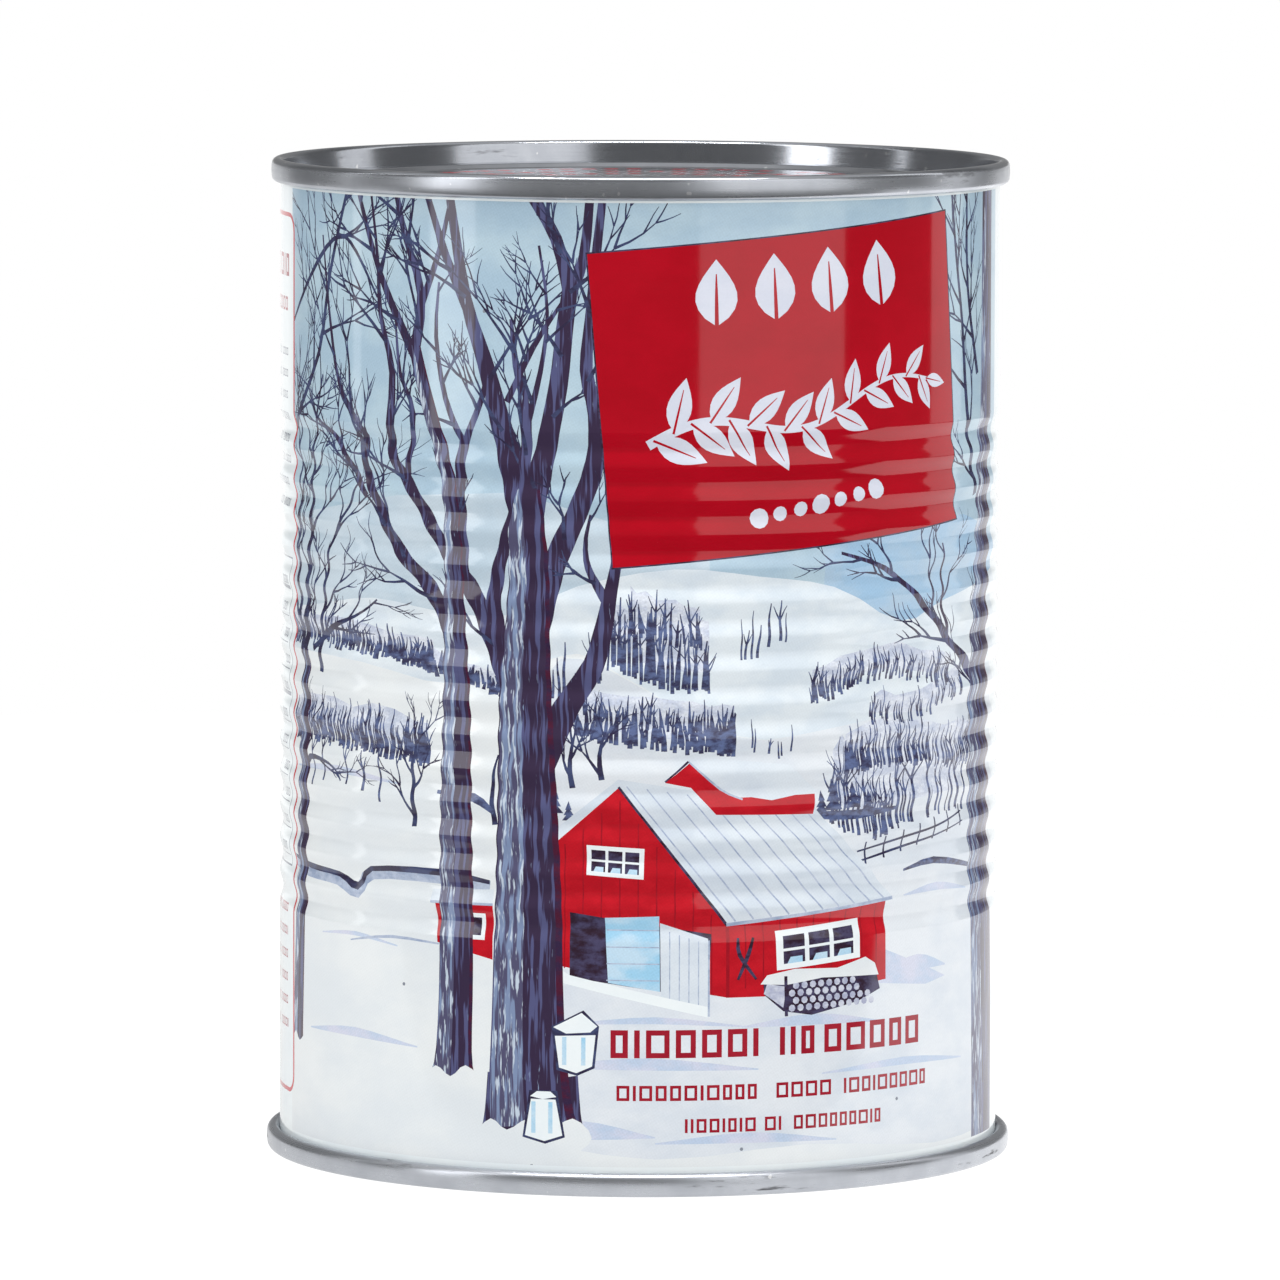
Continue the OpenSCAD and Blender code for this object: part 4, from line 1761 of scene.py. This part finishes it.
@dataclass
class SeamedEnd:
    """One end of the tin, turned from the section of its plate and closed all round.

    Points of the section are (radius, depth below the crest).
    """

    name: str
    crest: float
    faces_up: bool
    wall_radius: float
    seam_radius: float
    finish: Tinplate
    marks: LidMarks | None = None
    plate: float = 0.2
    seam_height: float = 2.7
    crest_radius: float = 0.55
    groove_depth: float = 3.4
    groove_radius: float = 0.5
    chuck_lean: float = 0.4
    ring_rise: float = 1.0
    ring_width: float = 3.4
    panel_drop: float = 0.5
    step_width: float = 0.8
    bend: float = 0.15
    round_steps: int = 256
    hub: float = 4.0
    edge_round: float = 0.16
    seam_bulge: float = 0.16

    def plate_side(self, inset: float) -> list[Point]:
        """Lists the section's points from the hub to the foot of the chuck wall.

        Args:
            inset: How far the side lies inside the plate, from its outer face.

        Returns:
            The points.
        """
        chuck = self.wall_radius - 2 * self.plate
        groove = (chuck - self.chuck_lean - self.groove_radius, self.groove_depth - self.groove_radius)
        ring_depth = self.groove_depth - self.ring_rise
        ring_out = groove[0] - self.groove_radius - self.bend - self.plate
        ring_in = ring_out - self.ring_width
        panel_depth = ring_depth + self.panel_drop
        turned = self.bend + self.plate
        return [
            (self.hub, panel_depth + inset),
            (ring_in - self.step_width, panel_depth + inset),
            (ring_in, ring_depth + inset),
            *arc((ring_out, ring_depth + turned), turned - inset, -90, 0),
            *arc(groove, self.groove_radius + inset, 180, 0),
        ]

    def section(self) -> list[Point]:
        """Lists the whole section, from the hub's outer face round the seam to its inner face."""
        chuck = self.wall_radius - 2 * self.plate
        hook = (self.seam_radius - self.wall_radius) / 2
        outer = self.seam_radius - self.crest_radius
        face = [(self.seam_radius, self.seam_height * i / 10) for i in range(3, 7)]
        seam = [
            *arc((outer, self.crest_radius), self.crest_radius, 270, 360),
            *(point for point in face if self.crest_radius < point[1] < self.seam_height - hook),
            *arc((self.seam_radius - hook, self.seam_height - hook), hook, 0, 90),
        ]
        middle = self.seam_height / 2
        return [
            *self.plate_side(0.0),
            *arc((chuck + self.crest_radius, self.crest_radius), self.crest_radius, 180, 270),
            *((r - self.seam_bulge * ((depth - middle) / middle) ** 2, depth) for r, depth in seam),
            *arc((self.seam_radius - hook, self.seam_height - hook), hook, 101.25, 180),
            (self.wall_radius - self.plate, self.seam_height - hook),
            *reversed(self.plate_side(self.plate)),
        ]

    def build(self, effects: Effects) -> bpy.types.Object:
        """Turns the end and dresses it.

        Args:
            effects: The shared node groups.

        Returns:
            The end.
        """
        section = self.section()
        way = -1.0 if self.faces_up else 1.0
        heights = [self.crest + way * depth for _, depth in section]
        bpy.ops.object.select_all(action="DESELECT")
        bpy.ops.mesh.primitive_circle_add(
            vertices=self.round_steps,
            radius=section[0][0] * MM,
            fill_type="TRIFAN",
            location=(0, 0, heights[0] * MM),
        )
        piece = bpy.context.object
        piece.name = piece.data.name = self.name
        bpy.ops.object.transform_apply(location=True)
        bpy.ops.object.mode_set(mode="EDIT")
        bpy.ops.mesh.select_all(action="SELECT")
        bpy.ops.mesh.region_to_loop()
        for i in range(1, len(section)):
            grow = section[i][0] / section[i - 1][0]
            bpy.ops.mesh.extrude_region_move()
            bpy.ops.transform.resize(value=(grow, grow, 1), center_override=(0, 0, heights[i - 1] * MM))
            bpy.ops.transform.translate(value=(0, 0, (heights[i] - heights[i - 1]) * MM))
        bpy.ops.mesh.edge_face_add()
        bpy.ops.mesh.poke()
        bpy.ops.mesh.select_all(action="SELECT")
        bpy.ops.mesh.remove_doubles(threshold=0.000001)
        bpy.ops.mesh.normals_make_consistent(inside=False)
        self.round_corners(section, heights)
        bpy.ops.object.mode_set(mode="OBJECT")
        bpy.ops.object.shade_smooth_by_angle(angle=math.radians(40))
        piece.data.materials.clear()
        piece.data.materials.append(self.finish.material(f"{self.name}_plate", effects, self.marks))
        return piece

    def round_corners(self, section: Sequence[Point], heights: Sequence[float]) -> None:
        """Bevels the two corners of the step between the ring and the panel, on the face that shows."""
        bpy.ops.mesh.select_mode(type="EDGE")
        bpy.ops.mesh.select_all(action="DESELECT")
        bpy.ops.object.mode_set(mode="OBJECT")
        mesh = bpy.context.object.data
        for edge in mesh.edges:
            ends = [mesh.vertices[i].co for i in edge.vertices]
            for (radius, _), height in list(zip(section, heights))[1:3]:
                at_radius = all(abs(Vector(p.xy).length - radius * MM) < 0.00001 for p in ends)
                at_height = all(abs(p.z - height * MM) < 0.00001 for p in ends)
                if at_radius and at_height:
                    edge.select = True
        bpy.ops.object.mode_set(mode="EDIT")
        bpy.ops.mesh.bevel(offset=self.edge_round * MM, segments=3, affect="EDGES")


# ---------------------------------------------------------------------------------------------------
# The studio
# ---------------------------------------------------------------------------------------------------


@dataclass(frozen=True)
class Softbox:
    """An upright strip of light that stands round the tin.

    The azimuths are in degrees from the camera's side towards +X.
    """

    start: float
    end: float
    level: float
    distance: float = 0.6
    height: float = 0.75

    def place(self, number: int) -> None:
        """Adds the light, facing the tin's axis."""
        middle = math.radians((self.start + self.end) / 2)
        half = math.radians((self.end - self.start) / 2)
        data = bpy.data.lights.new(f"softbox_{number}", "AREA")
        data.shape = "RECTANGLE"
        data.size = 2 * self.distance * math.tan(half)
        data.size_y = self.height
        data.energy = self.level * 4 * data.size * data.size_y
        light = bpy.data.objects.new(data.name, data)
        out = Vector((math.sin(middle), -math.cos(middle), 0))
        light.location = out * self.distance + Vector((0, 0, self.height / 2))
        light.rotation_euler = (math.radians(90), 0, middle)
        light.visible_camera = False
        bpy.context.scene.collection.objects.link(light)


@dataclass(frozen=True)
class Studio:
    """A pale floor in an even white room, with dark walls as far as reflections are concerned."""

    fill: float = 0.58
    room: float = 0.11
    ceiling: float = 0.45
    floor_radius: float = 0.5
    table_edge: float = 0.06
    overhead: float = 28.0
    overhead_size: tuple[float, float] = (0.8, 0.07)
    overhead_place: tuple[float, float, float] = (0, -0.2, 1.0)
    overhead_tilt: float = -12.0
    boxes: tuple[Softbox, ...] = (
        Softbox(18.0, 66.0, 0.85),
        Softbox(103.0, 121.0, 0.75),
        Softbox(-68.0, -52.0, 2.2),
        Softbox(-101.0, -97.0, 1.2),
    )

    def build(self) -> None:
        """Sets up the world, the floor and the lights."""
        self.world()
        self.floor()
        for number, box in enumerate(self.boxes):
            box.place(number + 1)
        data = bpy.data.lights.new("overhead", "AREA")
        data.shape = "RECTANGLE"
        data.size, data.size_y = self.overhead_size
        data.energy = self.overhead * 4 * data.size * data.size_y
        light = bpy.data.objects.new("overhead", data)
        light.location = self.overhead_place
        light.rotation_euler = (math.radians(self.overhead_tilt), 0, 0)
        light.visible_camera = False
        bpy.context.scene.collection.objects.link(light)

    def world(self) -> None:
        """Makes the room: white to look at, even as a fill light, and dark in front to reflections."""
        world = bpy.data.worlds.new("room")
        world.use_nodes = True
        bpy.context.scene.world = world
        nodes = Nodes(world.node_tree)
        path = nodes.add("ShaderNodeLightPath")
        parts = nodes.add("ShaderNodeSeparateXYZ")
        nodes.feed(parts.inputs[0], nodes.add("ShaderNodeTexCoord").outputs["Generated"])
        back = nodes.ramp(parts.outputs[1], 0.72, 0.92)
        mirrored = nodes.math(
            "MULTIPLY_ADD", back, nodes.ramp(parts.outputs[2], -0.03, 0.06, 1.0, 0.12), self.room
        )
        mirrored = nodes.math("ADD", mirrored, nodes.ramp(parts.outputs[2], 0.5, 0.9, 0.0, self.ceiling))
        level = nodes.add("ShaderNodeMix", data_type="FLOAT")
        nodes.feed(level.inputs[0], path.outputs["Is Glossy Ray"])
        nodes.feed(level.inputs[2], self.fill)
        nodes.feed(level.inputs[3], mirrored)
        seen = nodes.math("MAXIMUM", level.outputs[0], path.outputs["Is Camera Ray"])
        background = world.node_tree.nodes["Background"]
        nodes.feed(background.inputs["Strength"], seen)
        background.inputs["Color"].default_value = (1, 1, 1, 1)
        world.cycles.sampling_method = "NONE"

    def floor(self) -> None:
        """Adds the floor, a pale disc whose edge fades into the white room. It glows evenly white to the
        camera, and to reflections it glows as painted light.
        """
        bpy.ops.object.select_all(action="DESELECT")
        bpy.ops.mesh.primitive_circle_add(vertices=96, radius=self.floor_radius, fill_type="NGON")
        floor = bpy.context.object
        floor.name = "floor"
        material, nodes, shader = new_material("floor_paint_and_glow")
        shader.inputs["Base Color"].default_value = (0.8, 0.8, 0.8, 1)
        shader.inputs["Roughness"].default_value = 0.9
        shader.inputs["Specular IOR Level"].default_value = 0.0
        where = nodes.add("ShaderNodeSeparateXYZ")
        nodes.feed(where.inputs[0], nodes.add("ShaderNodeTexCoord").outputs["Object"])
        # Painted light for reflections: the floor's glow is brighter towards +X and dim in front of the
        # table's edge.
        lit = nodes.ramp(where.outputs[0], -0.05, 0.12, 0.85, 1.5)
        on_table = nodes.ramp(where.outputs[1], -self.table_edge - 0.01, -self.table_edge)
        mirrored = nodes.add("ShaderNodeEmission")
        nodes.feed(mirrored.inputs["Strength"], nodes.math("MULTIPLY_ADD", lit, on_table, 0.05))
        seen = nodes.add("ShaderNodeEmission")
        seen.inputs["Strength"].default_value = 1.2
        paths = nodes.add("ShaderNodeLightPath")
        glossy = nodes.add("ShaderNodeMixShader")
        nodes.feed(glossy.inputs[0], paths.outputs["Is Glossy Ray"])
        nodes.feed(glossy.inputs[1], shader.outputs[0])
        nodes.feed(glossy.inputs[2], mirrored.outputs[0])
        white = nodes.add("ShaderNodeMixShader")
        nodes.feed(white.inputs[0], nodes.math("MULTIPLY", paths.outputs["Is Camera Ray"], 0.85))
        nodes.feed(white.inputs[1], glossy.outputs[0])
        nodes.feed(white.inputs[2], seen.outputs[0])
        nodes.feed(material.node_tree.nodes["Material Output"].inputs["Surface"], white.outputs[0])
        floor.data.materials.append(material)


@dataclass(frozen=True)
class View:
    """The camera: a long lens, a little above the tin."""

    distance: float = 1253.6
    aside: float = 0.1
    height: float = 179.3
    pitch: float = math.radians(5.46)
    roll: float = math.radians(0.195)
    lens: float = 302.8

    def build(self) -> None:
        """Adds the camera and makes it the scene's own."""
        data = bpy.data.cameras.new("camera")
        data.lens = self.lens
        data.sensor_width = 36.0
        data.clip_start = 0.1
        data.clip_end = 50.0
        camera = bpy.data.objects.new("camera", data)
        camera.location = Vector((self.aside, -self.distance, self.height)) * MM
        turned = Matrix.Rotation(math.pi / 2 - self.pitch, 3, "X") @ Matrix.Rotation(self.roll, 3, "Z")
        camera.rotation_euler = turned.to_euler()
        bpy.context.scene.collection.objects.link(camera)
        bpy.context.scene.camera = camera
        bpy.context.scene.view_settings.view_transform = "Standard"


def stand_for(pieces: Iterable[bpy.types.Object], node: str) -> None:
    """Lets pieces stand for a CAD node: hangs them under the root and hides the node.

    Args:
        pieces: The pieces.
        node: The node's name.
    """
    for piece in pieces:
        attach(piece, "root")
        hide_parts(node)
        LOG.info("%s: %d faces, stands for %s", piece.name, len(piece.data.polygons), node)


def main() -> None:
    """Builds the tin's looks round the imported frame."""
    logging.basicConfig(level=logging.INFO, format="%(message)s")
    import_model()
    body_low, body_high = (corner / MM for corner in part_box("body"))
    top_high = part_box("top_end")[1] / MM
    bottom_low, bottom_high = (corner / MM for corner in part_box("bottom_end"))
    effects = Effects.build()

    wall = PrintedWall(radius=body_high.x, low=body_low.z, high=body_high.z, tin_height=top_high.z)
    stand_for(wall.build(effects), "body")

    top = SeamedEnd("top_plate", top_high.z, True, wall.radius, top_high.x, Tinplate(), LidMarks())
    stand_for([top.build(effects)], "top_end")

    bottom = SeamedEnd("bottom_plate", bottom_low.z, False, wall.radius, bottom_high.x, Tinplate(scuffs=0.9))
    stand_for([bottom.build(effects)], "bottom_end")

    Studio().build()
    View().build()
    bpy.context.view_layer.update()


if __name__ == "__main__":
    main()
